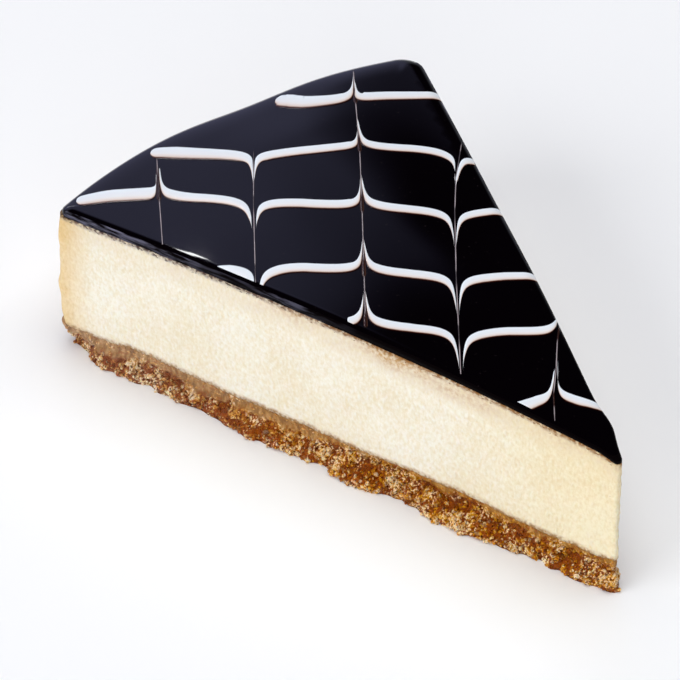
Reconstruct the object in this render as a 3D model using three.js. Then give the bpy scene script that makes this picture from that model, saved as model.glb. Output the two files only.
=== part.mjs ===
// A slice of cheesecake as it was cut: a pressed crumb base, a plain baked cheese filling and a
// poured chocolate glaze. Millimetres, +Z up. The tip of the wedge points to -Y and the rim to +Y.

import * as THREE from 'three';

// ---- Driving dimensions -------------------------------------------------------------------------

const CAKE_RADIUS = 130; // a 26 cm springform pan
const WEDGE_ANGLE = THREE.MathUtils.degToRad(39.6); // a ninth of the cake
const LAYER_GAP = 0.3; // clearance between one layer and the next

const BASE_HEIGHT = 6.5;
const FOOT_SPREAD = 2.9; // how far the crumbs lean out of a cut face at the floor
const FOOT_EDGE = 0.9; // height of the blunt lower edge of the base
const RIM_TUCK = 1.0; // the base's lower edge is drawn in where the pan's wall met its floor
const CRUMB_ROUGHNESS = 0.7; // how uneven the foot is along a cut face

const CROWN_HEIGHT = 33.9; // top of the filling at its highest
const CROWN_RADIUS = 0.52 * CAKE_RADIUS; // distance of that crown from the cake's centre
const TIP_FALL = 3.2; // the filling sinks towards the cake's centre
const RIM_FALL = 1.6; // and a little towards the rim
const SKIN_BULGE = 0.8; // the baked rim stands proud of the pan's wall, over nearly its whole height
// Shares of the filling's height, and how much of that bulge there is at each.
const SKIN_PROFILE = [
  { share: 0, bulge: 0 },
  { share: 0.06, bulge: 0.65 },
  { share: 0.3, bulge: 1 },
  { share: 0.7, bulge: 1 },
  { share: 0.94, bulge: 0.65 },
  { share: 1, bulge: 0 },
];

const GLAZE_THICKNESS = 1.8;
const GLAZE_TIP_THICKNESS = 0.9; // it ran thin at the tip
const GLAZE_EDGE = 0.35; // share of that thickness that stands upright at the glaze's edge
const GLAZE_RIM_INSET = 0.3; // bare filling left between the glaze and the rim
const GLAZE_CUT_INSET = 0.2;
const GLAZE_CUT_SHOULDER = 1.6; // rounding of the glaze along a cut
const GLAZE_RIM_SHOULDER = 6.0; // and where it flowed towards the rim

const TIP_ROUND = 0.65; // plan radius at the tip
const CORNER_ROUNDS = { right: 4.5, left: 2.0 }; // plan radii where the cut faces meet the rim
const GLAZE_CORNER_ROUNDS = { right: 4.0, left: 4.0 }; // and those of the glaze

// Steps round one outline: tip, cut face, corner, rim, corner, cut face.
const STEPS = { tip: 4, cut: 40, corner: 4, rim: 28 };
const TOP_RINGS = 4; // rings between the middle of a top face and its edge
const RING_MIDDLE = 0.66 * CAKE_RADIUS; // and the distance of that middle from the cake's centre

// ---- Plan ---------------------------------------------------------------------------------------

// The wedge's outline, anticlockwise from the tip. The cake's centre is the origin, rim is the outer
// radius, cut is how far each cut face is set in from the plane through the centre, and corners are
// the plan radii of the right (+X) and left (-X) corner.
function wedgeOutline(rim, cut, corners) {
  const half = WEDGE_ANGLE / 2;
  const tipY = (cut + TIP_ROUND) / Math.sin(half);
  // Direction of a corner's own middle, away from the slice's middle line.
  const turn = (round) => half - Math.asin((cut + round) / (rim - round));
  const right = Math.PI / 2 - turn(corners.right);
  const left = Math.PI / 2 + turn(corners.left);

  const path = new THREE.Path();
  const cornerArc = (direction, round, start, end) => {
    const reach = rim - round;
    path.absarc(reach * Math.cos(direction), reach * Math.sin(direction), round, start, end);
  };
  path.absarc(0, tipY, TIP_ROUND, Math.PI + half, 2 * Math.PI - half);
  cornerArc(right, corners.right, -half, right);
  path.absarc(0, 0, rim, right, left);
  cornerArc(left, corners.left, left, Math.PI + half);
  path.closePath();

  const steps = [STEPS.tip, STEPS.cut, STEPS.corner, STEPS.rim, STEPS.corner, STEPS.cut];
  const sides = ['tip', 'cut', 'corner', 'rim', 'corner', 'cut'];
  const curves = path.curves.filter((curve) => curve.getLength() > 1e-6);
  return curves.flatMap((curve, k) => outlinePoints(curve, steps[k], sides[k]));
}

// Evenly spaced points on one stretch of the outline, each with its outward normal.
function outlinePoints(curve, steps, side) {
  return Array.from({ length: steps }, (_, i) => {
    const at = curve.getPoint(i / steps);
    const tangent = curve.getTangent(i / steps);
    return { x: at.x, y: at.y, nx: tangent.y, ny: -tangent.x, side };
  });
}

// ---- Heights and unevenness ---------------------------------------------------------------------

// 0 at a cut face's two ends, rising to 1 along its middle.
function alongCut(point) {
  if (point.side !== 'cut') return 0;
  const share = Math.hypot(point.x, point.y) / CAKE_RADIUS;
  return Math.sqrt(Math.max(0, Math.sin(Math.PI * share)));
}

// A slow unevenness between -1 and 1, from three waves of unrelated length.
function ripple(x, y) {
  const waves = [{ length: 31, share: 0.45 }, { length: 17, share: 0.3 }, { length: 9, share: 0.25 }];
  const along = y + 0.6 * x; // skewed, so that the two cut faces differ
  return waves.reduce((sum, wave, k) => sum + wave.share * Math.sin((2 * Math.PI * along) / wave.length + k), 0);
}

function fillingTop(x, y) {
  const radius = Math.hypot(x, y);
  const inward = Math.max(0, CROWN_RADIUS - radius) / CROWN_RADIUS;
  const outward = Math.max(0, radius - CROWN_RADIUS) / (CAKE_RADIUS - CROWN_RADIUS);
  return CROWN_HEIGHT - TIP_FALL * inward ** 2 - RIM_FALL * outward ** 2;
}

function glazeThickness(x, y) {
  const share = THREE.MathUtils.smoothstep(Math.hypot(x, y), 0, CROWN_RADIUS);
  return THREE.MathUtils.lerp(GLAZE_TIP_THICKNESS, GLAZE_THICKNESS, share);
}

// ---- Solids -------------------------------------------------------------------------------------

// A closed solid from a pile of rings. Each ring is an outline, shrunk by scale towards the middle
// of the wedge, with its height and how far it is pushed out given by functions of the place.
// A lathe of as many steps makes the surface, and every vertex then moves to its place in its ring.
function ringSolid(rings) {
  const middle = { x: 0, y: RING_MIDDLE };
  const count = rings[0].outline.length;
  const profile = rings.map((ring, j) => new THREE.Vector2(ring.scale, j));
  const geometry = new THREE.LatheGeometry(profile, count);
  const position = geometry.attributes.position;
  for (let i = 0; i <= count; i += 1) {
    rings.forEach((ring, j) => {
      const point = ring.outline[i % count];
      const push = ring.push ? ring.push(point) : 0;
      const x = middle.x + ring.scale * (point.x + push * point.nx - middle.x);
      const y = middle.y + ring.scale * (point.y + push * point.ny - middle.y);
      position.setXYZ(i * rings.length + j, x, y, ring.height(x, y));
    });
  }
  geometry.computeVertexNormals();
  return geometry;
}

// Rings that close a solid from the middle of a face out to the outline, or back again.
function capRings(outline, height, outwards, push) {
  const rings = Array.from({ length: TOP_RINGS }, (_, k) => {
    const scale = Math.sqrt(k / TOP_RINGS);
    return { outline, scale, height, push };
  });
  return outwards ? rings : rings.reverse();
}

function level(z) {
  return () => z;
}

function crumbBase() {
  const outline = wedgeOutline(CAKE_RADIUS, 0, CORNER_ROUNDS);
  const lean = (share) => (point) => {
    const uneven = CRUMB_ROUGHNESS * ripple(point.x, point.y);
    const tuck = point.side === 'rim' || point.side === 'corner' ? RIM_TUCK : 0;
    return share * (alongCut(point) * (FOOT_SPREAD + uneven) - tuck);
  };
  const wall = [
    { z: 0, share: 0.75 },
    { z: FOOT_EDGE, share: 1 },
    { z: 0.35 * BASE_HEIGHT, share: 0.72 },
    { z: 0.6 * BASE_HEIGHT, share: 0.35 },
    { z: 0.8 * BASE_HEIGHT, share: 0.1 },
    { z: BASE_HEIGHT, share: 0 },
  ];
  return ringSolid([
    ...capRings(outline, level(0), true, lean(wall[0].share)),
    ...wall.map(({ z, share }) => ({ outline, scale: 1, height: level(z), push: lean(share) })),
    ...capRings(outline, level(BASE_HEIGHT), false),
  ]);
}

function cheeseFilling() {
  const bottom = BASE_HEIGHT + LAYER_GAP;
  const outline = wedgeOutline(CAKE_RADIUS, 0, CORNER_ROUNDS);
  const wall = SKIN_PROFILE.map(({ share, bulge }) => ({
    outline,
    scale: 1,
    height: (x, y) => THREE.MathUtils.lerp(bottom, fillingTop(x, y), share),
    push: (point) => (point.side === 'rim' ? SKIN_BULGE * bulge : 0),
  }));
  return ringSolid([
    ...capRings(outline, level(bottom), true),
    ...wall,
    ...capRings(outline, fillingTop, false),
  ]);
}

function chocolateGlaze() {
  const rim = CAKE_RADIUS - GLAZE_RIM_INSET;
  const underside = (x, y) => fillingTop(x, y) + LAYER_GAP;
  const surface = (x, y) => underside(x, y) + glazeThickness(x, y);
  // The shoulder is a quarter round, deeper in plan at the rim than along the cuts.
  const shoulder = [0, 0.25, 0.5, 0.75, 1].map((share) => {
    const angle = (share * Math.PI) / 2;
    const inset = 1 - Math.cos(angle);
    const rimHere = rim - GLAZE_RIM_SHOULDER * inset;
    const outline = wedgeOutline(rimHere, GLAZE_CUT_INSET + GLAZE_CUT_SHOULDER * inset, GLAZE_CORNER_ROUNDS);
    const lift = THREE.MathUtils.lerp(GLAZE_EDGE, 1, Math.sin(angle));
    return { outline, scale: 1, height: (x, y) => THREE.MathUtils.lerp(underside(x, y), surface(x, y), lift) };
  });
  const foot = wedgeOutline(rim, GLAZE_CUT_INSET, GLAZE_CORNER_ROUNDS);
  const top = shoulder[shoulder.length - 1].outline;
  return ringSolid([
    ...capRings(foot, underside, true),
    { outline: foot, scale: 1, height: underside },
    ...shoulder,
    ...capRings(top, surface, false),
  ]);
}

// ---- The slice ----------------------------------------------------------------------------------

function layer(name, geometry, color, roughness) {
  const material = new THREE.MeshStandardMaterial({ color, roughness, metalness: 0 });
  const mesh = new THREE.Mesh(geometry, material);
  mesh.name = name;
  return mesh;
}

const slice = new THREE.Group();
slice.add(layer('crumb_base', crumbBase(), '#a8733f', 0.9));
slice.add(layer('cheese_filling', cheeseFilling(), '#f5ebcf', 0.6));
slice.add(layer('chocolate_glaze', chocolateGlaze(), '#1c1416', 0.12));

// The origin goes to the middle of the footprint, on the floor.
const box = new THREE.Box3().setFromObject(slice);
const middle = box.getCenter(new THREE.Vector3());
slice.position.set(-middle.x, -middle.y, -box.min.z);

export default slice;
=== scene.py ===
"""A slice of baked cheesecake: pressed biscuit crumb, cream cheese filling, poured chocolate glaze.

White icing was piped across the glaze in rows while it was wet, and a blade was drawn through the
rows, one way and then the other, which feathers them. Every size is in millimetres until a mesh is
made. The plan is measured from the middle of the cake, which is the tip of the slice.
"""

import logging
import math
from abc import ABC, abstractmethod
from collections.abc import Callable, Sequence
from dataclasses import dataclass, field
from enum import Enum
from typing import Any

import bmesh
import bpy
import numpy as np
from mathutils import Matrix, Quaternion, Vector, geometry, noise


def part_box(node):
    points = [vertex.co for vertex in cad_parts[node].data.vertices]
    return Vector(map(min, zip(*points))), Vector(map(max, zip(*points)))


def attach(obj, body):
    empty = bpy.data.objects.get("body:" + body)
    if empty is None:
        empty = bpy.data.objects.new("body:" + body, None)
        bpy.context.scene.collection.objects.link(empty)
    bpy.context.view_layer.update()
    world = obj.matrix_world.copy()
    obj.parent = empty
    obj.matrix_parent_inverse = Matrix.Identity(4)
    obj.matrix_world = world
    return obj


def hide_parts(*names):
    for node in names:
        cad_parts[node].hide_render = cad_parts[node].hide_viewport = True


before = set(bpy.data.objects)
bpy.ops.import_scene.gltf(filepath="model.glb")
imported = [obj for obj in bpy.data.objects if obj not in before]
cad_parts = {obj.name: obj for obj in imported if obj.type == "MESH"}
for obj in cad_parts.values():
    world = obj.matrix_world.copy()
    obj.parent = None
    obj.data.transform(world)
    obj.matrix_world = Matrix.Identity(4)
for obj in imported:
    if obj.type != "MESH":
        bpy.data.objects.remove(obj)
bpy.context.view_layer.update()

MM = 0.001  # a millimetre in metres
BODY = "root"
LOG = logging.getLogger("cheesecake")

Height = Callable[[np.ndarray], np.ndarray]  # height of a surface at places in plan
Swells = tuple[tuple[float, float, float], ...]  # height, wavelength and seed of each unevenness
Stops = tuple[tuple[float, str], ...]  # places and hex colours of a colour ramp
Arc = tuple[tuple[float, float], float, float, float, int]  # middle, radius, start, end, points
Face = tuple[int, ...]
Step = tuple[str, str, dict[str, Any], dict[str | int, Any]]  # what add_node takes for one node

# Settings that many nodes have.
TIMES = {"operation": "MULTIPLY"}
TIMES_PLUS = {"operation": "MULTIPLY_ADD"}
COLOURS = {"data_type": "RGBA"}
EASED = {"interpolation_type": "SMOOTHSTEP"}


# ---- Small helpers ----


def colour(code: str) -> tuple[float, float, float, float]:
    """Turns an sRGB hex code into linear colour.

    Args:
        code: six hex digits after a hash sign.

    Returns:
        Red, green, blue and an alpha of 1.
    """
    parts = [int(code[i:i + 2], 16) / 255 for i in (1, 3, 5)]
    linear = [c / 12.92 if c <= 0.04045 else ((c + 0.055) / 1.055) ** 2.4 for c in parts]
    return (linear[0], linear[1], linear[2], 1.0)


def smooth(value: np.ndarray, low: float, high: float) -> np.ndarray:
    """Eases from 0 at low to 1 at high, whichever of the two is larger."""
    share = np.clip((value - low) / (high - low), 0, 1)
    return share * share * (3 - 2 * share)


def lifted(share: np.ndarray, least: float) -> np.ndarray:
    """Shares from 0 to 1, raised so that the lowest is a least one."""
    return least + (1 - least) * share


def quarter_round(share: np.ndarray) -> np.ndarray:
    """A quarter circle: upright at 0, and level at 1 where it reaches 1."""
    return np.sqrt(1 - (1 - share) ** 2)


def waves(points: np.ndarray, length: float, seed: float = 0.0) -> np.ndarray:
    """Smooth unevenness of one wavelength, from about -1 to 1. The seed moves the pattern along."""
    return np.array([noise.noise(Vector(place)) for place in points / length + seed])


def unevenness(points: np.ndarray, swells: Swells) -> np.ndarray:
    """Unevenness of several wavelengths, added up."""
    return sum(height * waves(points, length, seed) for height, length, seed in swells)


def grains(points: np.ndarray, size: float, seed: float = 0.0) -> tuple[np.ndarray, np.ndarray]:
    """Grains packed side by side.

    Args:
        points: places, one row each.
        size: the grains' width.
        seed: moves the pattern along.

    Returns:
        How far each place stands from the crevice round its grain, 0 in the crevice, and a random
        number from 0 to 1 that is the same all over one grain.
    """
    rise, shade = np.empty(len(points)), np.empty(len(points))
    for i, place in enumerate(points / size + seed):
        distances, cells = noise.voronoi(Vector(place))
        rise[i] = distances[1] - distances[0]
        shade[i] = noise.cell(cells[0] * 5.7)
    return rise, shade


def noise_scale(width: float) -> float:
    """Scale of a noise texture whose blotches are so many millimetres wide."""
    return 0.5 / (width * MM)


def add_node(tree: bpy.types.NodeTree, label: str, kind: str, settings: dict[str, Any],
             inputs: dict[str | int, Any]) -> None:
    """Adds one node to a tree, with its settings and links.

    Args:
        tree: the material's, world's or geometry node tree.
        label: a name for the node, which later links use.
        kind: Blender's name for the kind of node. A shader node's goes without its prefix.
        settings: the node's own properties. "stops" are a colour ramp's places and hex colours.
        inputs: for each input, a value, a hex colour, or "label.socket" of the node that feeds it,
            where the socket is a name or a number. "range" holds the two values that a range
            is mapped from and, where they are not 0 and 1, the two that it is mapped to.
    """
    node = tree.nodes.new(kind if "Node" in kind else "ShaderNode" + kind)
    node.name = label
    for name, value in settings.items():
        if name == "stops":
            elements = node.color_ramp.elements
            while len(elements) < len(value):
                elements.new(1.0)
            for element, (place, code) in zip(elements, value):
                element.position = place
                element.color = colour(code)
        else:
            setattr(node, name, value)
    for name, value in inputs.items():
        if name == "range":
            for key, number in zip(("From Min", "From Max", "To Min", "To Max"), value):
                node.inputs[key].default_value = number
        elif isinstance(value, str) and value.startswith("#"):
            node.inputs[name].default_value = colour(value)
        elif isinstance(value, str) and "." in value:
            source, socket = value.split(".")
            key = int(socket) if socket.isdigit() else socket
            tree.links.new(tree.nodes[source].outputs[key], node.inputs[name])
        else:
            node.inputs[name].default_value = value


def linked(name: str, data: bpy.types.ID) -> bpy.types.Object:
    """Puts a new object in the scene.

    Args:
        name: its name.
        data: its mesh, light or camera.

    Returns:
        The object, at the origin.
    """
    made = bpy.data.objects.new(name, data)
    bpy.context.scene.collection.objects.link(made)
    return made


def mesh_piece(name: str, points: np.ndarray, faces: Sequence[Face],
               values: dict[str, np.ndarray] | None = None) -> bpy.types.Object:
    """Makes a smooth-shaded object from places in millimetres.

    Args:
        name: the piece's name.
        points: its vertices, one row each, in the frame's millimetres.
        faces: vertex numbers of each face, anticlockwise seen from outside.
        values: named numbers for the vertices, which a material reads.

    Returns:
        The object, at the origin, with its place in its mesh.
    """
    mesh = bpy.data.meshes.new(name)
    mesh.from_pydata((points * MM).tolist(), [], faces)
    mesh.validate()
    for key, numbers in (values or {}).items():
        attribute = mesh.attributes.new(key, "FLOAT", "POINT")
        attribute.data.foreach_set("value", np.asarray(numbers, np.float32))
    mesh.shade_smooth()
    return linked(name, mesh)


def hand_over(piece: bpy.types.Object, slot: str, *nodes: str) -> None:
    """Puts a finished piece on its body.

    Args:
        piece: the piece.
        slot: its finish's slot; not used.
        nodes: the nodes that it stands for, if any.
    """
    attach(piece, BODY)
    if nodes:
        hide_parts(*nodes)


# ---- The wedge in plan ----


@dataclass
class Ring:
    """One closed outline, anticlockwise from the tip.

    Attributes:
        xy: places in plan.
        normal: outward directions.
        rimward: 1 on the rim, 0 on the cut faces and at the tip.
    """

    xy: np.ndarray
    normal: np.ndarray
    rimward: np.ndarray

    def at(self, z: np.ndarray | float) -> np.ndarray:
        """The outline's places at a height."""
        return np.column_stack([self.xy, np.broadcast_to(z, len(self.xy))])

    def pushed(self, push: np.ndarray) -> np.ndarray:
        """The outline's places in plan, pushed outwards."""
        return self.xy + self.normal * push[:, None]


@dataclass(frozen=True)
class WedgePlan:
    """The slice seen from above.

    Attributes:
        centre: the middle of the cake in the frame, which is the sharp tip of the slice.
        radius: the cake's radius.
        half_angle: half the angle between the cut faces, in degrees.
        tip_round: plan radius at the tip.
        corners: plan radius where the right and the left cut face meet the rim.
    """

    centre: tuple[float, float]
    radius: float = 130.0
    half_angle: float = 19.8
    tip_round: float = 0.65
    corners: tuple[float, float] = (4.5, 2.0)

    @classmethod
    def from_frame(cls, skin_bulge: float) -> "WedgePlan":
        """Finds the cake's middle from the frame.

        Args:
            skin_bulge: how far the filling's baked rim stands proud of the radius.

        Returns:
            The plan, in the frame's millimetres.
        """
        low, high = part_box("chocolate_glaze")
        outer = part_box("cheese_filling")[1].y / MM
        return cls(centre=((low.x + high.x) / 2 / MM, outer - skin_bulge - cls.radius))

    def ring(self, spacing: float, rim: float = 0.0, cut: float = 0.0,
             corners: tuple[float, float] | None = None) -> Ring:
        """The slice's outline, set in from its planes.

        Args:
            spacing: distance between points on the full outline. Rings of one spacing have the same
                number of points, which lie side by side.
            rim: how far the rim is set in.
            cut: how far each cut face is set in.
            corners: plan radius of the right and the left corner, where not the slice's own.

        Returns:
            The outline.
        """
        half = math.radians(self.half_angle)
        counts = [max(4, round(length / spacing)) for length in self._lengths(half)]
        outer = self.radius - rim
        right, left = corners or self.corners
        right_turn = math.pi / 2 - half + math.asin((cut + right) / (outer - right))
        left_turn = math.pi / 2 + half - math.asin((cut + left) / (outer - left))
        tip = (0.0, (cut + self.tip_round) / math.sin(half))
        arcs = [
            (tip, self.tip_round, math.pi + half, 2 * math.pi - half, counts[0]),
            (self._polar(outer - right, right_turn), right, -half, right_turn, counts[2]),
            ((0.0, 0.0), outer, right_turn, left_turn, counts[3]),
            (self._polar(outer - left, left_turn), left, left_turn, math.pi + half, counts[2]),
        ]
        parts = [self._arc(*arc) for arc in arcs]
        right_line = self._line(arcs[0], parts[1][0][0], counts[1])
        left_line = self._line(arcs[3], parts[0][0][0], counts[1])
        joined = [parts[0], right_line, parts[1], parts[2], parts[3], left_line]
        xy = np.vstack([part[0] for part in joined])
        normal = np.vstack([part[1] for part in joined])
        outward = xy / np.linalg.norm(xy, axis=1)[:, None]
        rimward = np.clip((outward * normal).sum(axis=1), 0, 1)
        return Ring(xy + np.array(self.centre), normal, rimward)

    def _lengths(self, half: float) -> list[float]:
        """Measures the full outline.

        Args:
            half: half the angle between the cut faces, in radians.

        Returns:
            Lengths of the tip, a cut face, a corner and the rim.
        """
        return [
            self.tip_round * (math.pi - 2 * half),
            self.radius - self.tip_round / math.tan(half),
            max(self.corners) * math.pi / 2,
            self.radius * 2 * half,
        ]

    @staticmethod
    def _polar(radius: float, angle: float) -> tuple[float, float]:
        """A place from its distance and direction."""
        return (radius * math.cos(angle), radius * math.sin(angle))

    @staticmethod
    def _arc(middle: tuple[float, float], radius: float, start: float, end: float,
             count: int) -> tuple[np.ndarray, np.ndarray]:
        """Points of an arc, without its last one.

        Args:
            middle: its middle.
            radius: its radius.
            start: direction of its first point from the middle.
            end: direction of its last one.
            count: how many points.

        Returns:
            The points and their outward directions.
        """
        angles = start + (end - start) * np.arange(count) / count
        normal = np.column_stack([np.cos(angles), np.sin(angles)])
        return np.array(middle) + radius * normal, normal

    @staticmethod
    def _line(arc: Arc, goal: np.ndarray, count: int) -> tuple[np.ndarray, np.ndarray]:
        """Points of the straight stretch from the end of one arc to the start of the next.

        Args:
            arc: the arc before it.
            goal: the next arc's first point.
            count: how many points.

        Returns:
            The points, without the goal, and their outward directions.
        """
        middle, radius, _, end, _ = arc
        normal = np.array([math.cos(end), math.sin(end)])
        start = np.array(middle) + radius * normal
        share = (np.arange(count) / count)[:, None]
        return start + (goal - start) * share, np.tile(normal, (count, 1))

    def from_tip(self, xy: np.ndarray) -> np.ndarray:
        """Distance of each place from the middle of the cake."""
        return np.linalg.norm(xy[:, :2] - np.array(self.centre), axis=1)

    def bearing(self, xy: np.ndarray) -> np.ndarray:
        """Angle of each place from the slice's middle line, in degrees, more to the right."""
        x, y = (xy[:, :2] - np.array(self.centre)).T
        return np.degrees(np.arctan2(x, y))

    def inside_cuts(self, xy: np.ndarray) -> np.ndarray:
        """How far places are from the cuts.

        Args:
            xy: places in plan.

        Returns:
            Distance of each place inside the nearer of the two cut planes.
        """
        half = math.radians(self.half_angle)
        x, y = (xy[:, :2] - np.array(self.centre)).T
        return y * math.sin(half) - np.abs(x) * math.cos(half)

    def fill(self, ring: np.ndarray, pitch: float) -> np.ndarray:
        """Places on a square grid that lie well inside a ring of this plan.

        Args:
            ring: the ring's places.
            pitch: distance between grid lines.

        Returns:
            The grid's places in plan.
        """
        low, high = ring[:, :2].min(axis=0), ring[:, :2].max(axis=0)
        x, y = np.meshgrid(np.arange(low[0], high[0], pitch), np.arange(low[1], high[1], pitch))
        xy = np.column_stack([x.ravel(), y.ravel()])
        margin = self.inside_cuts(ring).clip(0).min() + pitch
        reach = self.from_tip(ring).max() - pitch
        return xy[(self.inside_cuts(xy) > margin) & (self.from_tip(xy) < reach)]


@dataclass
class LayerMesh:
    """Builds a closed solid from rings, bottom to top, and closes it with two caps.

    Attributes:
        plan: the slice's plan.
        rows: the rings' places, all with as many points.
        pitch: distance between the points inside a cap.
    """

    plan: WedgePlan
    rows: list[np.ndarray]
    pitch: float = 2.0

    def build(self, floor: Height, top: Height) -> tuple[np.ndarray, list[Face], int]:
        """Makes the solid.

        Args:
            floor: height of the bottom cap inside its ring.
            top: height of the top cap inside its ring.

        Returns:
            Places, faces, and how many of the places belong to the rings.
        """
        count = len(self.rows[0])
        points = [np.vstack(self.rows)]
        faces = []
        for near in range(0, (len(self.rows) - 1) * count, count):
            for i in range(count):
                beside = near + (i + 1) % count
                faces.append((near + i, beside, beside + count, near + count + i))
        walls = len(self.rows) * count
        start = walls
        for row, height, down in ((0, floor, True), (len(self.rows) - 1, top, False)):
            inner, triangles = self._cap(self.rows[row], height, row * count, start)
            points.append(inner)
            start += len(inner)
            faces += [tri[::-1] for tri in triangles] if down else triangles
        return np.vstack(points), faces, walls

    def _cap(self, ring: np.ndarray, height: Height, ring_start: int,
             inner_start: int) -> tuple[np.ndarray, list[Face]]:
        """Fills a ring with triangles over a grid.

        Args:
            ring: the ring's places.
            height: height of the surface at a place in plan.
            ring_start: number of the ring's first vertex.
            inner_start: number that the first new vertex takes.

        Returns:
            The new places and the triangles, facing up.
        """
        grid = self.plan.fill(ring, self.pitch)
        inner = np.column_stack([grid, height(grid)])
        flat = [Vector(p) for p in np.vstack([ring[:, :2], grid])]
        loop = list(range(len(ring)))
        inside_only, tolerance = 1, 1e-7
        corners, _, sides, origins, *_ = geometry.delaunay_2d_cdt(flat, [], [loop], inside_only, tolerance)
        origin = [ids[0] for ids in origins]
        number = [ring_start + k if k < len(ring) else inner_start + k - len(ring) for k in origin]
        triangles = []
        for a, b, c in sides:
            leftward = (corners[b] - corners[a]).cross(corners[c] - corners[a]) > 0
            order = (a, b, c) if leftward else (a, c, b)
            triangles.append(tuple(number[k] for k in order))
        return inner, triangles


# ---- Shape shared by the layers ----


@dataclass(frozen=True)
class LayerHeights:
    """Where one layer ends and the next begins.

    Attributes:
        plan: the slice's plan.
        base_top: mean height of the crumb base.
        crown: the filling's greatest height.
        crown_share: where that is, as a share of the radius.
        tip_fall: how much lower the filling is at the tip.
        rim_fall: how much lower it is at the rim.
        dent: depth of the shallow dent in the rim.
        dent_bearing: where that is, in degrees from the slice's middle line.
        dent_width: half its width, in degrees.
        dent_reach: how far in from the rim the dent runs.
        back_fall: how much lower the right cut edge is, away from the tip.
        back_start: distances from the tip between which that fall sets in.
        tip_droop: how much the very tip sinks besides.
        droop_reach: how far from the tip it does so.
        glaze: the glaze's thickness.
        glaze_tip: its thickness at the tip, where it ran thin.
        crumb_swells: unevenness of the line between crumb and filling.
        corner_fall: how much lower that line is at the corner of the left cut and the rim.
        corner_reach: how far from that corner it is lower.
    """

    plan: WedgePlan
    base_top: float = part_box("crumb_base")[1].z / MM
    crown: float = 34.1
    crown_share: float = 0.52
    tip_fall: float = 3.2
    rim_fall: float = 1.6
    dent: float = 0.85
    dent_bearing: float = 3.0
    dent_width: float = 4.5
    dent_reach: float = 18.0
    back_fall: float = 0.7
    back_start: tuple[float, float] = (45.0, 80.0)
    tip_droop: float = 0.6
    droop_reach: float = 7.0
    glaze: float = 1.75
    glaze_tip: float = 0.95
    crumb_swells: Swells = ((0.75, 34.0, 3.1), (0.45, 7.0, 8.4), (0.35, 2.6, 5.5), (0.2, 1.1, 2.9))
    corner_fall: float = 1.3
    corner_reach: float = 26.0

    def outline(self, spacing: float, rim: float = 0.0, cut: float = 0.0,
                corners: tuple[float, float] | None = None) -> Ring:
        """The plan's outline with the dent in its rim.

        Args:
            spacing: distance between points.
            rim: how far the rim is set in.
            cut: how far each cut face is set in.
            corners: plan radius of the right and the left corner, where not the slice's own.

        Returns:
            The outline.
        """
        ring = self.plan.ring(spacing, rim, cut, corners)
        ring.xy = ring.pushed(-self.rim_dent(ring.xy) * ring.rimward)
        return ring

    def crumb_line(self, ring: Ring) -> np.ndarray:
        """Height of the line between crumb and filling round an outline."""
        uneven = unevenness(ring.at(0.0), self.crumb_swells)
        return self.base_top + uneven - self.corner_fall * self.left_corner(ring.xy, self.corner_reach)

    def left_corner(self, xy: np.ndarray, reach: float) -> np.ndarray:
        """How near places are to the corner of the left cut and the rim.

        Args:
            xy: places in plan.
            reach: how far from the corner it falls to nothing, along either face.

        Returns:
            1 at the corner, falling to 0.
        """
        distance, bearing = self.plan.from_tip(xy), self.plan.bearing(xy)
        turn = math.degrees(reach / self.plan.radius)
        along = smooth(distance, self.plan.radius - reach, self.plan.radius - 3.0)
        return along * smooth(bearing, turn - self.plan.half_angle, 2.0 - self.plan.half_angle)

    def filling_top(self, xy: np.ndarray) -> np.ndarray:
        """Height of the filling's domed top.

        Args:
            xy: places in plan.

        Returns:
            The height at each place.
        """
        distance, bearing = self.plan.from_tip(xy), self.plan.bearing(xy)
        share = distance / self.plan.radius
        inward = np.clip(1 - share / self.crown_share, 0, None)
        outward = np.clip(share - self.crown_share, 0, None) / (1 - self.crown_share)
        rightward = smooth(bearing, 4.0, self.plan.half_angle) * smooth(distance, *self.back_start)
        falls = self.tip_fall * inward ** 2 + self.rim_fall * outward ** 2
        falls += self.tip_droop * smooth(distance, self.droop_reach, 0.0) + self.back_fall * rightward
        return self.crown - falls - self.rim_dent(xy)

    def rim_dent(self, xy: np.ndarray) -> np.ndarray:
        """Depth of the rim's dent, both inwards and down.

        Args:
            xy: places in plan.

        Returns:
            The depth at each place.
        """
        off = (self.plan.bearing(xy) - self.dent_bearing) / self.dent_width
        from_rim = self.plan.radius - self.plan.from_tip(xy)
        return self.dent * np.exp(-0.5 * off ** 2) * smooth(from_rim, self.dent_reach, 0.0)

    def glaze_thickness(self, xy: np.ndarray) -> np.ndarray:
        """Thickness of the glaze away from its edges."""
        share = smooth(self.plan.from_tip(xy), 0.0, self.crown_share * self.plan.radius)
        return self.glaze_tip + (self.glaze - self.glaze_tip) * share


# ---- Finishes ----


@dataclass(frozen=True)
class Finish(ABC):
    """A surface finish, made of nodes that are added one after another.

    Attributes:
        name: the material's name.
    """

    name: str

    @abstractmethod
    def steps(self) -> Sequence[Step]:
        """Each node's label, kind, settings and inputs. The last one is labelled shader."""

    def material(self) -> bpy.types.Material:
        """Builds it.

        Returns:
            The material.
        """
        made = bpy.data.materials.new(self.name)
        made.use_nodes = True
        made.node_tree.nodes.clear()
        for step in self.steps():
            add_node(made.node_tree, *step)
        add_node(made.node_tree, "output", "OutputMaterial", {}, {"Surface": "shader.BSDF"})
        return made


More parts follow.
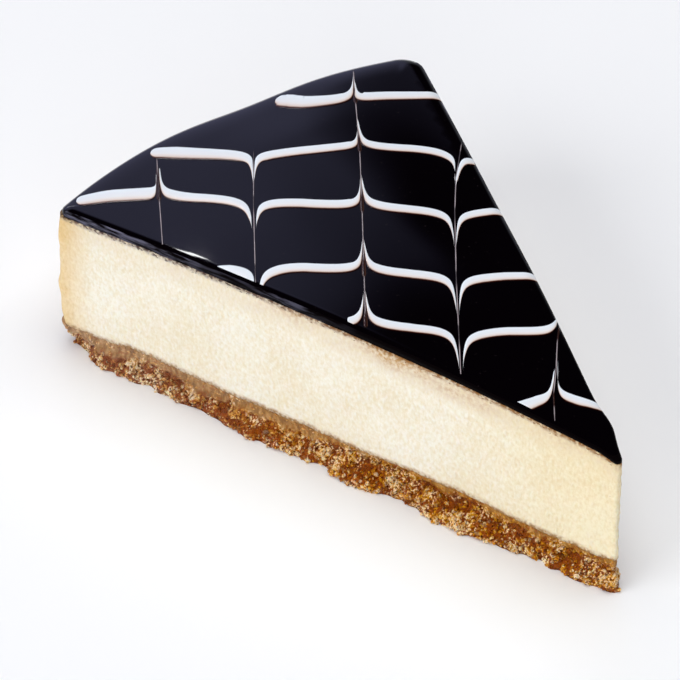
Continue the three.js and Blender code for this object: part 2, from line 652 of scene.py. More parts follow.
@dataclass(frozen=True)
class BakedCheese(Finish):
    """Baked cream cheese: moist, dense and faintly translucent, so light softens inside it.

    The blade drew fine upright streaks across the cut. Under the glaze it baked tan, with small
    burst bubbles and flecks of chocolate, and the skin against the tin's wall is golden. Widths,
    depths and heights are in millimetres, as in every finish.
    """

    name: str = "baked_cream_cheese"
    ivory: str = "#fcf6e8"
    cream: str = "#efe2c4"
    warm: str = "#fff8e4"
    tan: str = "#c9a06a"
    smudge: str = "#6d5650"
    fleck: str = "#44312c"
    burnt: str = "#8f6132"
    skin: str = "#f8e8cb"
    skin_dark: str = "#f0d6a4"
    crumb_smear: str = "#b58c5f"
    streak_width: float = 0.27
    cloud_width: float = 9.0
    bubble_width: float = 0.4
    fleck_width: float = 0.5
    tan_depth: float = 7.0
    smudge_depth: float = 1.3
    fleck_depth: float = 1.8
    skin_depth: float = 10.0
    smear_height: float = 1.4

    def steps(self) -> Sequence[Step]:
        """Reads how far a place is below the top, above the crumb and in from the rim."""
        return (*self._plain_cut(), *self._baked(), *self._dragged_glaze(), *self._edges(), *self._gloss())

    def _plain_cut(self) -> Sequence[Step]:
        """Ivory, streaked by the blade, and warmer towards the tip.

        Returns:
            The nodes.
        """
        return (
            ("place", "TexCoord", {}, {}),
            ("parts", "SeparateXYZ", {}, {"Vector": "place.Object"}),
            ("upright", "Mapping", {}, {"Vector": "place.Object", "Scale": (1, 1, 0.55)}),
            ("streaks", "TexNoise", {},
             {"Vector": "upright.Vector", "Scale": noise_scale(self.streak_width), "Detail": 3.0}),
            ("clouds", "TexNoise", {},
             {"Vector": "place.Object", "Scale": noise_scale(self.cloud_width), "Detail": 3.0}),
            ("fine", "TexNoise", {},
             {"Vector": "place.Object", "Scale": noise_scale(self.bubble_width), "Detail": 3.0}),
            ("softened", "Math", TIMES, {0: "clouds.Fac", 1: 0.3}),
            ("grained", "Math", TIMES_PLUS, {0: "fine.Fac", 1: 0.34, 2: "softened.Value"}),
            ("mottle", "Math", TIMES_PLUS, {0: "streaks.Fac", 1: 0.36, 2: "grained.Value"}),
            ("mottled", "ValToRGB", {"stops": ((0.39, self.cream), (0.59, self.ivory))},
             {"Fac": "mottle.Value"}),
            ("warmth", "MapRange", EASED, {"Value": "parts.Y", "range": (-25 * MM, -62 * MM)}),
            ("warmed", "Mix", COLOURS | {"blend_type": "MULTIPLY"},
             {0: "warmth.Result", 6: "mottled.Color", 7: self.warm}),
        )

    def _baked(self) -> Sequence[Step]:
        """Tan in clouds under the glaze, with burst bubbles, less so at the rim and at the tip.

        Returns:
            The nodes.
        """
        return (
            ("below", "Attribute", {"attribute_name": "below_top"}, {}),
            ("high", "MapRange", EASED, {"Value": "below.Fac", "range": (self.tan_depth, 0.2)}),
            ("patchy", "MapRange", EASED, {"Value": "clouds.Fac", "range": (0.38, 0.62, 0.2, 0.95)}),
            ("tipward", "MapRange", EASED, {"Value": "parts.Y", "range": (40 * MM, -25 * MM, 0.35, 1.0)}),
            ("paler", "MapRange", EASED, {"Value": "parts.Y", "range": (-62 * MM, -38 * MM, 0.35, 1.0)}),
            ("gentle", "Math", TIMES, {0: "tipward.Result", 1: "paler.Result"}),
            ("browned", "Math", TIMES, {0: "patchy.Result", 1: "gentle.Value"}),
            ("bubbly", "MapRange", {}, {"Value": "fine.Fac", "range": (0.38, 0.62, 0.45, 1.3)}),
            ("cloudy", "Math", TIMES, {0: "high.Result", 1: "browned.Value"}),
            ("tanned", "Math", TIMES, {0: "cloudy.Value", 1: "bubbly.Result"}),
            ("baked", "Mix", COLOURS, {0: "tanned.Value", 6: "warmed.2", 7: self.tan}),
        )

    def _dragged_glaze(self) -> Sequence[Step]:
        """A smudge and specks that the blade dragged out of the glaze, grey at the rim and brown at
        the tip.

        Returns:
            The nodes.
        """
        return (
            ("edge", "MapRange", EASED, {"Value": "below.Fac", "range": (self.smudge_depth, 0.0)}),
            ("ragged", "MapRange", {}, {"Value": "fine.Fac", "range": (0.3, 0.6, 0.1, 0.95)}),
            ("smeared", "Math", TIMES, {0: "edge.Result", 1: "ragged.Result"}),
            ("browner", "MapRange", {}, {"Value": "parts.Y", "range": (15 * MM, -15 * MM)}),
            ("grime", "Mix", COLOURS, {0: "browner.Result", 6: self.smudge, 7: self.burnt}),
            ("smudged", "Mix", COLOURS, {0: "smeared.Value", 6: "baked.2", 7: "grime.2"}),
            ("near", "MapRange", {}, {"Value": "below.Fac", "range": (0.2, self.fleck_depth, 0.5, 0.84)}),
            ("flat", "Mapping", {}, {"Vector": "place.Object", "Scale": (1, 1, 2.2)}),
            ("dots", "TexNoise", {},
             {"Vector": "flat.Vector", "Scale": noise_scale(self.fleck_width), "Detail": 1.0}),
            ("over", "Math", {"operation": "SUBTRACT"}, {0: "dots.Fac", 1: "near.Result"}),
            ("flecks", "MapRange", {}, {"Value": "over.Value", "range": (0.0, 0.06, 0.0, 0.8)}),
            ("fleck", "Mix", COLOURS, {0: "browner.Result", 6: self.fleck, 7: self.burnt}),
            ("flecked", "Mix", COLOURS, {0: "flecks.Result", 6: "smudged.2", 7: "fleck.2"}),
        )

    def _edges(self) -> Sequence[Step]:
        """The skin at the rim, and crumb drawn up into the lower edge.

        Returns:
            The nodes.
        """
        return (
            ("inward", "Attribute", {"attribute_name": "from_rim"}, {}),
            ("skin", "ValToRGB", {"stops": ((0.38, self.skin_dark), (0.6, self.skin))},
             {"Fac": "clouds.Fac"}),
            ("rimmed", "MapRange", EASED, {"Value": "inward.Fac", "range": (self.skin_depth, 0.0)}),
            ("skinned", "Mix", COLOURS | {"blend_type": "MULTIPLY"},
             {0: "rimmed.Result", 6: "flecked.2", 7: "skin.Color"}),
            ("above", "Attribute", {"attribute_name": "above_crumb"}, {}),
            ("low", "MapRange", EASED, {"Value": "above.Fac", "range": (self.smear_height, 0.0)}),
            ("mixed", "MapRange", {}, {"Value": "fine.Fac", "range": (0.35, 0.62, 0.15, 1.2)}),
            ("crumbed", "Math", TIMES, {0: "low.Result", 1: "mixed.Result"}),
            ("final", "Mix", COLOURS, {0: "crumbed.Value", 6: "skinned.2", 7: self.crumb_smear}),
        )

    def _gloss(self) -> Sequence[Step]:
        """Moist and softly lit from inside, with the streaks and the grain in relief.

        Returns:
            The nodes.
        """
        return (
            ("relief", "Math", TIMES_PLUS, {0: "fine.Fac", 1: 0.8, 2: "streaks.Fac"}),
            ("bump", "Bump", {}, {"Height": "relief.Value", "Strength": 0.75, "Distance": 0.32 * MM}),
            ("shader", "BsdfPrincipled", {}, {
                "Base Color": "final.2", "Roughness": 0.55, "IOR": 1.42, "Normal": "bump.Normal",
                "Subsurface Weight": 0.3, "Subsurface Radius": (1.0, 0.75, 0.45),
                "Subsurface Scale": 1.5 * MM}),
        )


@dataclass(frozen=True)
class BiscuitCrumb(Finish):
    """Biscuit crumb pressed with butter: golden grains, glassy where sugar and butter set, with
    shade painted dark into the crevices between and into pits, and with painted glints on sugary
    grains. The blade smeared filling into its upper edge, which is fine and dull."""

    name: str = "buttered_biscuit_crumb"
    grain_stops: Stops = (
        (0.0, "#9a4c10"), (0.2, "#c27a22"), (0.45, "#e2a346"), (0.7, "#f2c47c"), (0.9, "#ffe4c2"))
    smear_stops: Stops = ((0.3, "#7f552b"), (0.5, "#a1743f"), (0.7, "#c29661"))
    # Painted shade: the dark colour put into the crevices and between grains, where shade falls.
    crevice: str = "#6c2e06"
    # Painted shade: the colour that darkens the pits, where shade falls.
    pit: str = "#4a1a03"
    # Painted highlight: the pale colour of glints that stand for light caught by sugary grains.
    sugar: str = "#ffdfb4"
    grain_width: float = 0.42
    blotch_width: float = 0.5
    speckle_width: float = 0.25
    region_width: float = 2.2
    drawn_width: float = 0.45

    def steps(self) -> Sequence[Step]:
        """Reads each grain's tone, the crevices, where shade is painted, and the smear."""
        return (*self._grains(), *self._smear(), *self._facets(), *self._gloss())

    def _grains(self) -> Sequence[Step]:
        """Grains, each of its own tone, in paler and darker regions.

        Returns:
            The nodes.
        """
        scale = 1 / (self.grain_width * MM)
        return (
            ("place", "TexCoord", {}, {}),
            ("shade", "Attribute", {"attribute_name": "grain_shade"}, {}),
            ("blotch", "TexNoise", {},
             {"Vector": "place.Object", "Scale": noise_scale(self.blotch_width), "Detail": 3.0}),
            ("fine", "TexNoise", {},
             {"Vector": "place.Object", "Scale": noise_scale(self.speckle_width), "Detail": 2.0}),
            ("regions", "TexNoise", {},
             {"Vector": "place.Object", "Scale": noise_scale(self.region_width), "Detail": 1.0}),
            ("cells", "TexVoronoi", {}, {"Vector": "place.Object", "Scale": scale}),
            ("cell", "SeparateColor", {}, {"Color": "cells.Color"}),
            ("gaps", "TexVoronoi", {"feature": "DISTANCE_TO_EDGE"},
             {"Vector": "place.Object", "Scale": scale}),
            ("wide", "Math", TIMES_PLUS, {0: "regions.Fac", 1: 1.4, 2: "shade.Fac"}),
            ("tone", "Math", TIMES_PLUS, {0: "blotch.Fac", 1: 0.6, 2: "wide.Value"}),
            ("speckled", "Math", TIMES_PLUS, {0: "cell.Red", 1: 0.5, 2: "tone.Value"}),
            ("centred", "MapRange", {}, {"Value": "speckled.Value", "range": (1.26, 2.06)}),
            ("grain", "ValToRGB", {"stops": self.grain_stops}, {"Fac": "centred.Result"}),
        )

    def _smear(self) -> Sequence[Step]:
        """The blade's smear, where a few grains show, and painted shade in the crevices and between
        grains, only where the crumb broke.

        Returns:
            The nodes.
        """
        return (
            ("smear", "Attribute", {"attribute_name": "smear"}, {}),
            ("crevice", "Attribute", {"attribute_name": "crevice"}, {}),
            ("upright", "Mapping", {}, {"Vector": "place.Object", "Scale": (1, 1, 0.4)}),
            ("drawn", "TexNoise", {},
             {"Vector": "upright.Vector", "Scale": noise_scale(self.drawn_width), "Detail": 2.0}),
            ("dull", "ValToRGB", {"stops": self.smear_stops}, {"Fac": "drawn.Fac"}),
            ("bare", "MapRange", {}, {"Value": "cell.Green", "range": (0.72, 0.85, 1.0, 0.4)}),
            ("coated", "Math", TIMES, {0: "smear.Fac", 1: "bare.Result"}),
            ("mixed", "Mix", COLOURS, {0: "coated.Value", 6: "grain.Color", 7: "dull.Color"}),
            # Painted shade: darker along the edges between grains and in the crevices, only where the crumb
            # broke.
            ("crack", "MapRange", {}, {"Value": "gaps.Distance", "range": (0.0, 0.08, 0.5, 0.0)}),
            ("broken", "Math", {"operation": "SUBTRACT"}, {0: 1.0, 1: "smear.Fac"}),
            ("cracked", "Math", TIMES, {0: "crack.Result", 1: "broken.Value"}),
            ("deepest", "Math", {"operation": "MAXIMUM"}, {0: "cracked.Value", 1: "crevice.Fac"}),
            ("darkened", "Mix", COLOURS, {0: "deepest.Value", 6: "mixed.2", 7: self.crevice}),
        )

    def _facets(self) -> Sequence[Step]:
        """Painted glints, bright flecks in clusters that stand for light caught by sugary grains, and
        painted shade in dark pits; duller towards the rim, and painted light near the floor, paler there
        as if lit from the pale floor.

        Returns:
            The nodes.
        """
        return (
            # Painted highlight: pale glints in clusters, where the crumb broke.
            ("clusters", "MapRange", {}, {"Value": "regions.Fac", "range": (0.46, 0.56)}),
            ("bare_clusters", "Math", TIMES, {0: "clusters.Result", 1: "broken.Value"}),
            ("facet", "MapRange", {}, {"Value": "fine.Fac", "range": (0.54, 0.61)}),
            ("facets", "Math", TIMES, {0: "facet.Result", 1: "bare_clusters.Value"}),
            ("sugared", "Mix", COLOURS, {0: "facets.Value", 6: "darkened.2", 7: self.sugar}),
            # Painted shade: small dark pits scattered where the crumb broke.
            ("pit", "MapRange", {}, {"Value": "fine.Fac", "range": (0.42, 0.34, 0.0, 0.9)}),
            ("pits", "Math", TIMES, {0: "pit.Result", 1: "broken.Value"}),
            ("pitted", "Mix", COLOURS, {0: "pits.Value", 6: "sugared.2", 7: self.pit}),
            ("parts", "SeparateXYZ", {}, {"Vector": "place.Object"}),
            ("vivid", "MapRange", {}, {"Value": "parts.Y", "range": (-20 * MM, 40 * MM, 1.12, 0.9)}),
            # Painted light: paler towards the floor, standing for light thrown up from the pale floor.
            ("paler", "MapRange", {}, {"Value": "parts.Z", "range": (0.0, 3 * MM, 1.3, 1.0)}),
            ("final", "HueSaturation", {},
             {"Color": "pitted.2", "Saturation": "vivid.Result", "Value": "paler.Result"}),
        )

    def _gloss(self) -> Sequence[Step]:
        """Glassy in spots and dull in others, with the small grains in relief where it broke.

        Returns:
            The nodes.
        """
        return (
            ("grainy", "Math", TIMES, {0: "gaps.Distance", 1: "broken.Value"}),
            ("relief", "Math", TIMES_PLUS, {0: "grainy.Value", 1: 2.0, 2: "fine.Fac"}),
            ("bump", "Bump", {}, {"Height": "relief.Value", "Strength": 0.9, "Distance": 0.22 * MM}),
            ("rough", "MapRange", {}, {"Value": "blotch.Fac", "range": (0.35, 0.65, 0.25, 0.6)}),
            ("shader", "BsdfPrincipled", {}, {
                "Base Color": "final.Color", "Roughness": "rough.Result", "IOR": 1.48,
                "Subsurface Weight": 0.3, "Subsurface Radius": (1.0, 0.5, 0.2),
                "Subsurface Scale": 0.25 * MM, "Normal": "bump.Normal"}),
        )


@dataclass(frozen=True)
class PouredChocolate(Finish):
    """Poured dark glaze: nearly black and mirror-smooth, with a few specks of sugar in it."""

    name: str = "poured_dark_chocolate"
    dark: str = "#030103"
    speck: str = "#2a2425"
    speck_width: float = 0.3

    def steps(self) -> Sequence[Step]:
        """Scatters the specks.

        Returns:
            The nodes.
        """
        return (
            ("place", "TexCoord", {}, {}),
            ("dust", "TexNoise", {},
             {"Vector": "place.Object", "Scale": noise_scale(self.speck_width), "Detail": 1.0}),
            ("specks", "MapRange", {}, {"Value": "dust.Fac", "range": (0.74, 0.8, 0.0, 0.6)}),
            ("final", "Mix", COLOURS, {0: "specks.Result", 6: self.dark, 7: self.speck}),
            ("shader", "BsdfPrincipled", {}, {"Base Color": "final.2", "Roughness": 0.04, "IOR": 1.5}),
        )


@dataclass(frozen=True)
class CutChocolate(Finish):
    """The glaze where the blade cut through it: dull, and streaked grey along the blade's lines with
    painted sheen, stronger towards the rim."""

    name: str = "cut_dark_chocolate"
    dark: str = "#060304"
    # Painted sheen: the grey of the streaks on the cut.
    streak: str = "#6c6b7e"
    streak_width: float = 0.22
    patch_width: float = 9.0

    def steps(self) -> Sequence[Step]:
        """Paints grey sheen in streaks along the cut, in patches, more so towards the rim.

        Returns:
            The nodes.
        """
        return (
            ("place", "TexCoord", {}, {}),
            ("level", "Mapping", {}, {"Vector": "place.Object", "Scale": (0.1, 0.1, 1)}),
            ("lines", "TexNoise", {},
             {"Vector": "level.Vector", "Scale": noise_scale(self.streak_width), "Detail": 3.0}),
            ("thin", "MapRange", {}, {"Value": "lines.Fac", "range": (0.45, 0.66)}),
            ("wide", "TexNoise", {},
             {"Vector": "place.Object", "Scale": noise_scale(self.patch_width), "Detail": 2.0}),
            ("uneven", "MapRange", {}, {"Value": "wide.Fac", "range": (0.36, 0.54, 0.2, 1.0)}),
            ("parts", "SeparateXYZ", {}, {"Vector": "place.Object"}),
            ("rimward", "MapRange", {}, {"Value": "parts.Y", "range": (-10 * MM, 22 * MM)}),
            ("patchy", "Math", TIMES, {0: "uneven.Result", 1: "rimward.Result"}),
            # Painted sheen: grey streaks, in patches, lighter towards the rim.
            ("streaky", "Math", TIMES, {0: "thin.Result", 1: "patchy.Value"}),
            ("final", "Mix", COLOURS, {0: "streaky.Value", 6: self.dark, 7: self.streak}),
            ("rough", "MapRange", {}, {"Value": "lines.Fac", "range": (0.0, 1.0, 0.4, 0.7)}),
            ("shader", "BsdfPrincipled", {}, {
                "Base Color": "final.2", "Roughness": "rough.Result", "IOR": 1.5,
                "Specular IOR Level": 0.05}),
        )


@dataclass(frozen=True)
class FeatherIcing(Finish):
    """White sugar icing sunk into the wet glaze: glossy, cool white, with a brown fringe where it
    thins out over the chocolate along its lower side."""

    name: str = "white_feather_icing"
    stops: Stops = (
        (0.0, "#020001"), (0.09, "#250805"), (0.14, "#6a4230"), (0.2, "#d6c4b8"), (0.3, "#e2d9d6"),
        (0.45, "#e5e6e9"), (0.7, "#e4e9f0"), (0.93, "#e9f1f8"), (1.0, "#c0c8d4"))

    def steps(self) -> Sequence[Step]:
        """Reads how far a place is across the line.

        Returns:
            The nodes.
        """
        return (
            ("across", "Attribute", {"attribute_name": "across"}, {}),
            ("final", "ValToRGB", {"stops": self.stops}, {"Fac": "across.Fac"}),
            ("shader", "BsdfPrincipled", {}, {
                "Base Color": "final.Color", "Roughness": 0.2, "IOR": 1.5,
                "Subsurface Weight": 0.15, "Subsurface Radius": (1.0, 0.9, 0.8),
                "Subsurface Scale": 0.4 * MM}),
        )


@dataclass(frozen=True)
class BladeTrail(Finish):
    """The blade's trail through the rows: a thread of icing stirred into chocolate, milky where it
    runs on by itself and brown where it crosses a row."""

    name: str = "milky_blade_trail"
    milky: Stops = (
        (0.0, "#120a0c"), (0.3, "#a09296"), (0.5, "#d6ccd0"), (0.7, "#918387"), (1.0, "#120a0c"))
    brown: Stops = (
        (0.0, "#5a4036"), (0.2, "#3c2118"), (0.5, "#2a140d"), (0.8, "#3c2118"), (1.0, "#5a4036"))
    glaze: str = "#020001"

    def steps(self) -> Sequence[Step]:
        """Reads how far a place is across the thread, how brown and how strong it is there.

        Returns:
            The nodes.
        """
        return (
            ("across", "Attribute", {"attribute_name": "across"}, {}),
            ("browned", "Attribute", {"attribute_name": "browned"}, {}),
            ("strong", "Attribute", {"attribute_name": "strength"}, {}),
            ("milky", "ValToRGB", {"stops": self.milky}, {"Fac": "across.Fac"}),
            ("brown", "ValToRGB", {"stops": self.brown}, {"Fac": "across.Fac"}),
            ("stirred", "Mix", COLOURS, {0: "browned.Fac", 6: "milky.Color", 7: "brown.Color"}),
            ("final", "Mix", COLOURS, {0: "strong.Fac", 6: self.glaze, 7: "stirred.2"}),
            ("shader", "BsdfPrincipled", {}, {"Base Color": "final.2", "Roughness": 0.2, "IOR": 1.5}),
        )


@dataclass(frozen=True)
class PaleTable(Finish):
    """A pale, smooth, dull surface under the slice."""

    name: str = "pale_table"
    shade: str = "#f5f6f8"

    def steps(self) -> Sequence[Step]:
        """Varies the dullness a little.

        Returns:
            The nodes.
        """
        return (
            ("grain", "TexNoise", {}, {"Scale": 400.0}),
            ("rough", "MapRange", {}, {"Value": "grain.Fac", "range": (0.0, 1.0, 0.5, 0.6)}),
            ("shader", "BsdfPrincipled", {}, {"Base Color": self.shade, "Roughness": "rough.Result"}),
        )


# ---- Layers ----


@dataclass
class CrumbBase:
    """The pressed crumb base, with its grains as relief and loose crumbs on it.

    Attributes:
        heights: where the layers meet.
        spacing: distance between points of the relief.
        feet: how far the crumbs lean out of the left cut at the floor, at distances from the tip.
        foot_spread: how far they do so on the right cut.
        spread_swells: unevenness of that.
        foot_swells: unevenness of both.
        foot_edge: height of the blunt lower edge.
        rim_tuck: how far the lower edge is drawn in where the tin's wall met its floor.
        rim_bulge: how far its upper edge stands out there, under the filling's skin.
        corner_wear: how far the lower edge of the left corner is worn off.
        wear_reach: how far from that corner it is.
        broken_share: share of the height that broke rather than smeared, at distances from the tip.
        border_swells: unevenness of the line between the two.
        smear_relief: share of the relief that is left where the blade smeared it.
        grain_sizes: widths of large, middling and fine grains, and how far each stands out.
        grain_shares: what each size adds to the grain's tone, and how dark the painted shade in its
            crevices is.
        top_sunk: how far its hidden top lies under the lowest place of its edge.
    """

    heights: LayerHeights
    spacing: float = 0.22
    feet: tuple[tuple[float, float], ...] = (
        (0, 1.6), (3.6, 1.9), (7.5, 2.8), (12, 1.9), (17, 1.9), (25, 2.9), (33, 3.7), (43, 3.4), (48, 2.6),
        (56, 4.2), (66, 2.3), (75, 3.3), (84, 3.5), (90, 2.6), (100, 2.2), (109, 2.3), (119, 2.6),
        (124, 1.5), (130, 0.0))
    foot_spread: float = 2.5
    spread_swells: Swells = ((0.9, 15.0, 1.7),)
    foot_swells: Swells = ((0.8, 5.5, 6.2), (0.9, 2.6, 9.9))
    foot_edge: float = 0.8
    rim_tuck: float = 0.2
    rim_bulge: float = 0.7
    corner_wear: float = 2.4
    wear_reach: float = 12.0
    broken_share: tuple[tuple[float, float], ...] = ((0, 0.8), (60, 0.76), (100, 0.56))
    border_swells: Swells = ((1.5, 9.0, 4.4), (1.0, 3.0, 2.3), (0.7, 1.2, 6.3))
    smear_relief: float = 0.2
    grain_sizes: tuple[tuple[float, float], ...] = ((3.0, 0.9), (1.3, 0.6), (0.6, 0.35))
    grain_shares: tuple[tuple[float, float], ...] = ((0.25, 0.9), (0.45, 0.75), (0.3, 0.15))
    top_sunk: float = 0.3

    def build(self) -> list[bpy.types.Object]:
        """Makes the base and its loose crumbs.

        Returns:
            The two pieces.
        """
        ring = self.heights.outline(self.spacing)
        line = self.heights.crumb_line(ring)
        lean = self._lean(ring)
        count = round(float(line.mean()) / self.spacing)
        hidden = {"grain_shade": 0.5, "crevice": 0.0, "smear": 0.0, "loose": 0.0}
        rows, values = [], {key: [] for key in hidden}
        for j in range(count + 1):
            z = line * j / count
            bulge = self.rim_bulge * ring.rimward * smooth(z, 0.25 * line, 0.8 * line)
            out = lean * self._lean_share(z) + bulge
            rough = self._roughness(ring, z, line)
            push, shade, crevice = self._relief(np.column_stack([ring.pushed(out), z]))
            inside = 0 < j < count
            depth = lifted(rough, self.smear_relief) * inside
            rows.append(np.column_stack([ring.pushed(out + push * depth), z]))
            values["grain_shade"].append(shade)
            # Painted shade in the crevices, only where the crumb broke.
            values["crevice"].append(crevice * rough)
            values["smear"].append(1 - rough)
            values["loose"].append(rough * inside * lifted(smooth(z, 3.2, 0.8), 0.35))
        layer = LayerMesh(self.heights.plan, rows)
        points, faces, walls = layer.build(
            lambda xy: np.zeros(len(xy)), lambda xy: np.full(len(xy), line.min() - self.top_sunk))
        extra = len(points) - walls
        packed = {key: np.concatenate([*values[key], np.full(extra, hidden[key])]) for key in hidden}
        finish = BiscuitCrumb().material()
        base = mesh_piece("biscuit_base", points, faces, packed)
        base.data.materials.append(finish)
        hand_over(base, "baked_crumb", "crumb_base")
        crumbs = LooseCrumbs().scatter(base, finish)
        hand_over(crumbs, "baked_crumb")
        return [base, crumbs]

    def _lean(self, ring: Ring) -> np.ndarray:
        """How far the foot of the base leans out.

        Args:
            ring: the outline.

        Returns:
            The lean round the outline.
        """
        distance = self.heights.plan.from_tip(ring.xy)
        places = ring.at(0.0)
        left = np.interp(distance, *zip(*self.feet))
        spread = np.sqrt(np.sin(np.pi * (distance / self.heights.plan.radius).clip(0, 1)).clip(0))
        right = spread * (self.foot_spread + unevenness(places, self.spread_swells))
        leftward = smooth(-ring.normal[:, 0], -0.3, 0.3)
        lean = left * leftward + right * (1 - leftward)
        lean += unevenness(places, self.foot_swells) * (lean / 1.5).clip(0, 1)
        lean = lean * (1 - ring.rimward) - self.rim_tuck * ring.rimward
        return lean - self.corner_wear * self.heights.left_corner(ring.xy, self.wear_reach)

    def _lean_share(self, z: np.ndarray) -> np.ndarray:
        """Share of the lean at a height: most at the blunt edge, none near the top."""
        under = lifted(quarter_round((z / self.foot_edge).clip(0, 1)), 0.8)
        return under * (1 - smooth(z, self.foot_edge * 0.4, 0.8 * self.heights.base_top))

    def _roughness(self, ring: Ring, z: np.ndarray, line: np.ndarray) -> np.ndarray:
        """Where the crumb broke.

        Args:
            ring: the outline.
            z: height of the row.
            line: height of the base's upper edge.

        Returns:
            1 where the crumb broke, 0 where the blade smeared it smooth.
        """
        coarse = np.interp(self.heights.plan.from_tip(ring.xy), *zip(*self.broken_share))
        border = coarse * line + unevenness(ring.at(z), self.border_swells)
        return 1 - smooth(z, border - 0.8, border + 0.9)

    def _relief(self, places: np.ndarray) -> tuple[np.ndarray, np.ndarray, np.ndarray]:
        """Relief of the broken crumb.

        Args:
            places: one row of the wall.

        Returns:
            How far the surface stands out, each grain's tone, and 1 in the crevices, where shade is
            painted.
        """
        push, shade, crevice = np.zeros(len(places)), np.zeros(len(places)), np.zeros(len(places))
        bent = places + 0.45 * np.column_stack([waves(places, 1.1, s) for s in (11.0, 23.0, 37.0)])
        for k, ((size, depth), (tinted, dark)) in enumerate(zip(self.grain_sizes, self.grain_shares)):
            rise, tone = grains(bent, size, 5.0 * k)
            lift = np.sqrt((rise * 1.6).clip(0, 1))
            push += depth * (lift * lifted(tone, 0.35) - 0.42)
            shade += tone * tinted
            # Painted shade: the crevices round each grain are marked for darkening.
            crevice = np.maximum(crevice, (1 - smooth(rise, 0.0, 0.11)) * dark)
        return push, shade, crevice


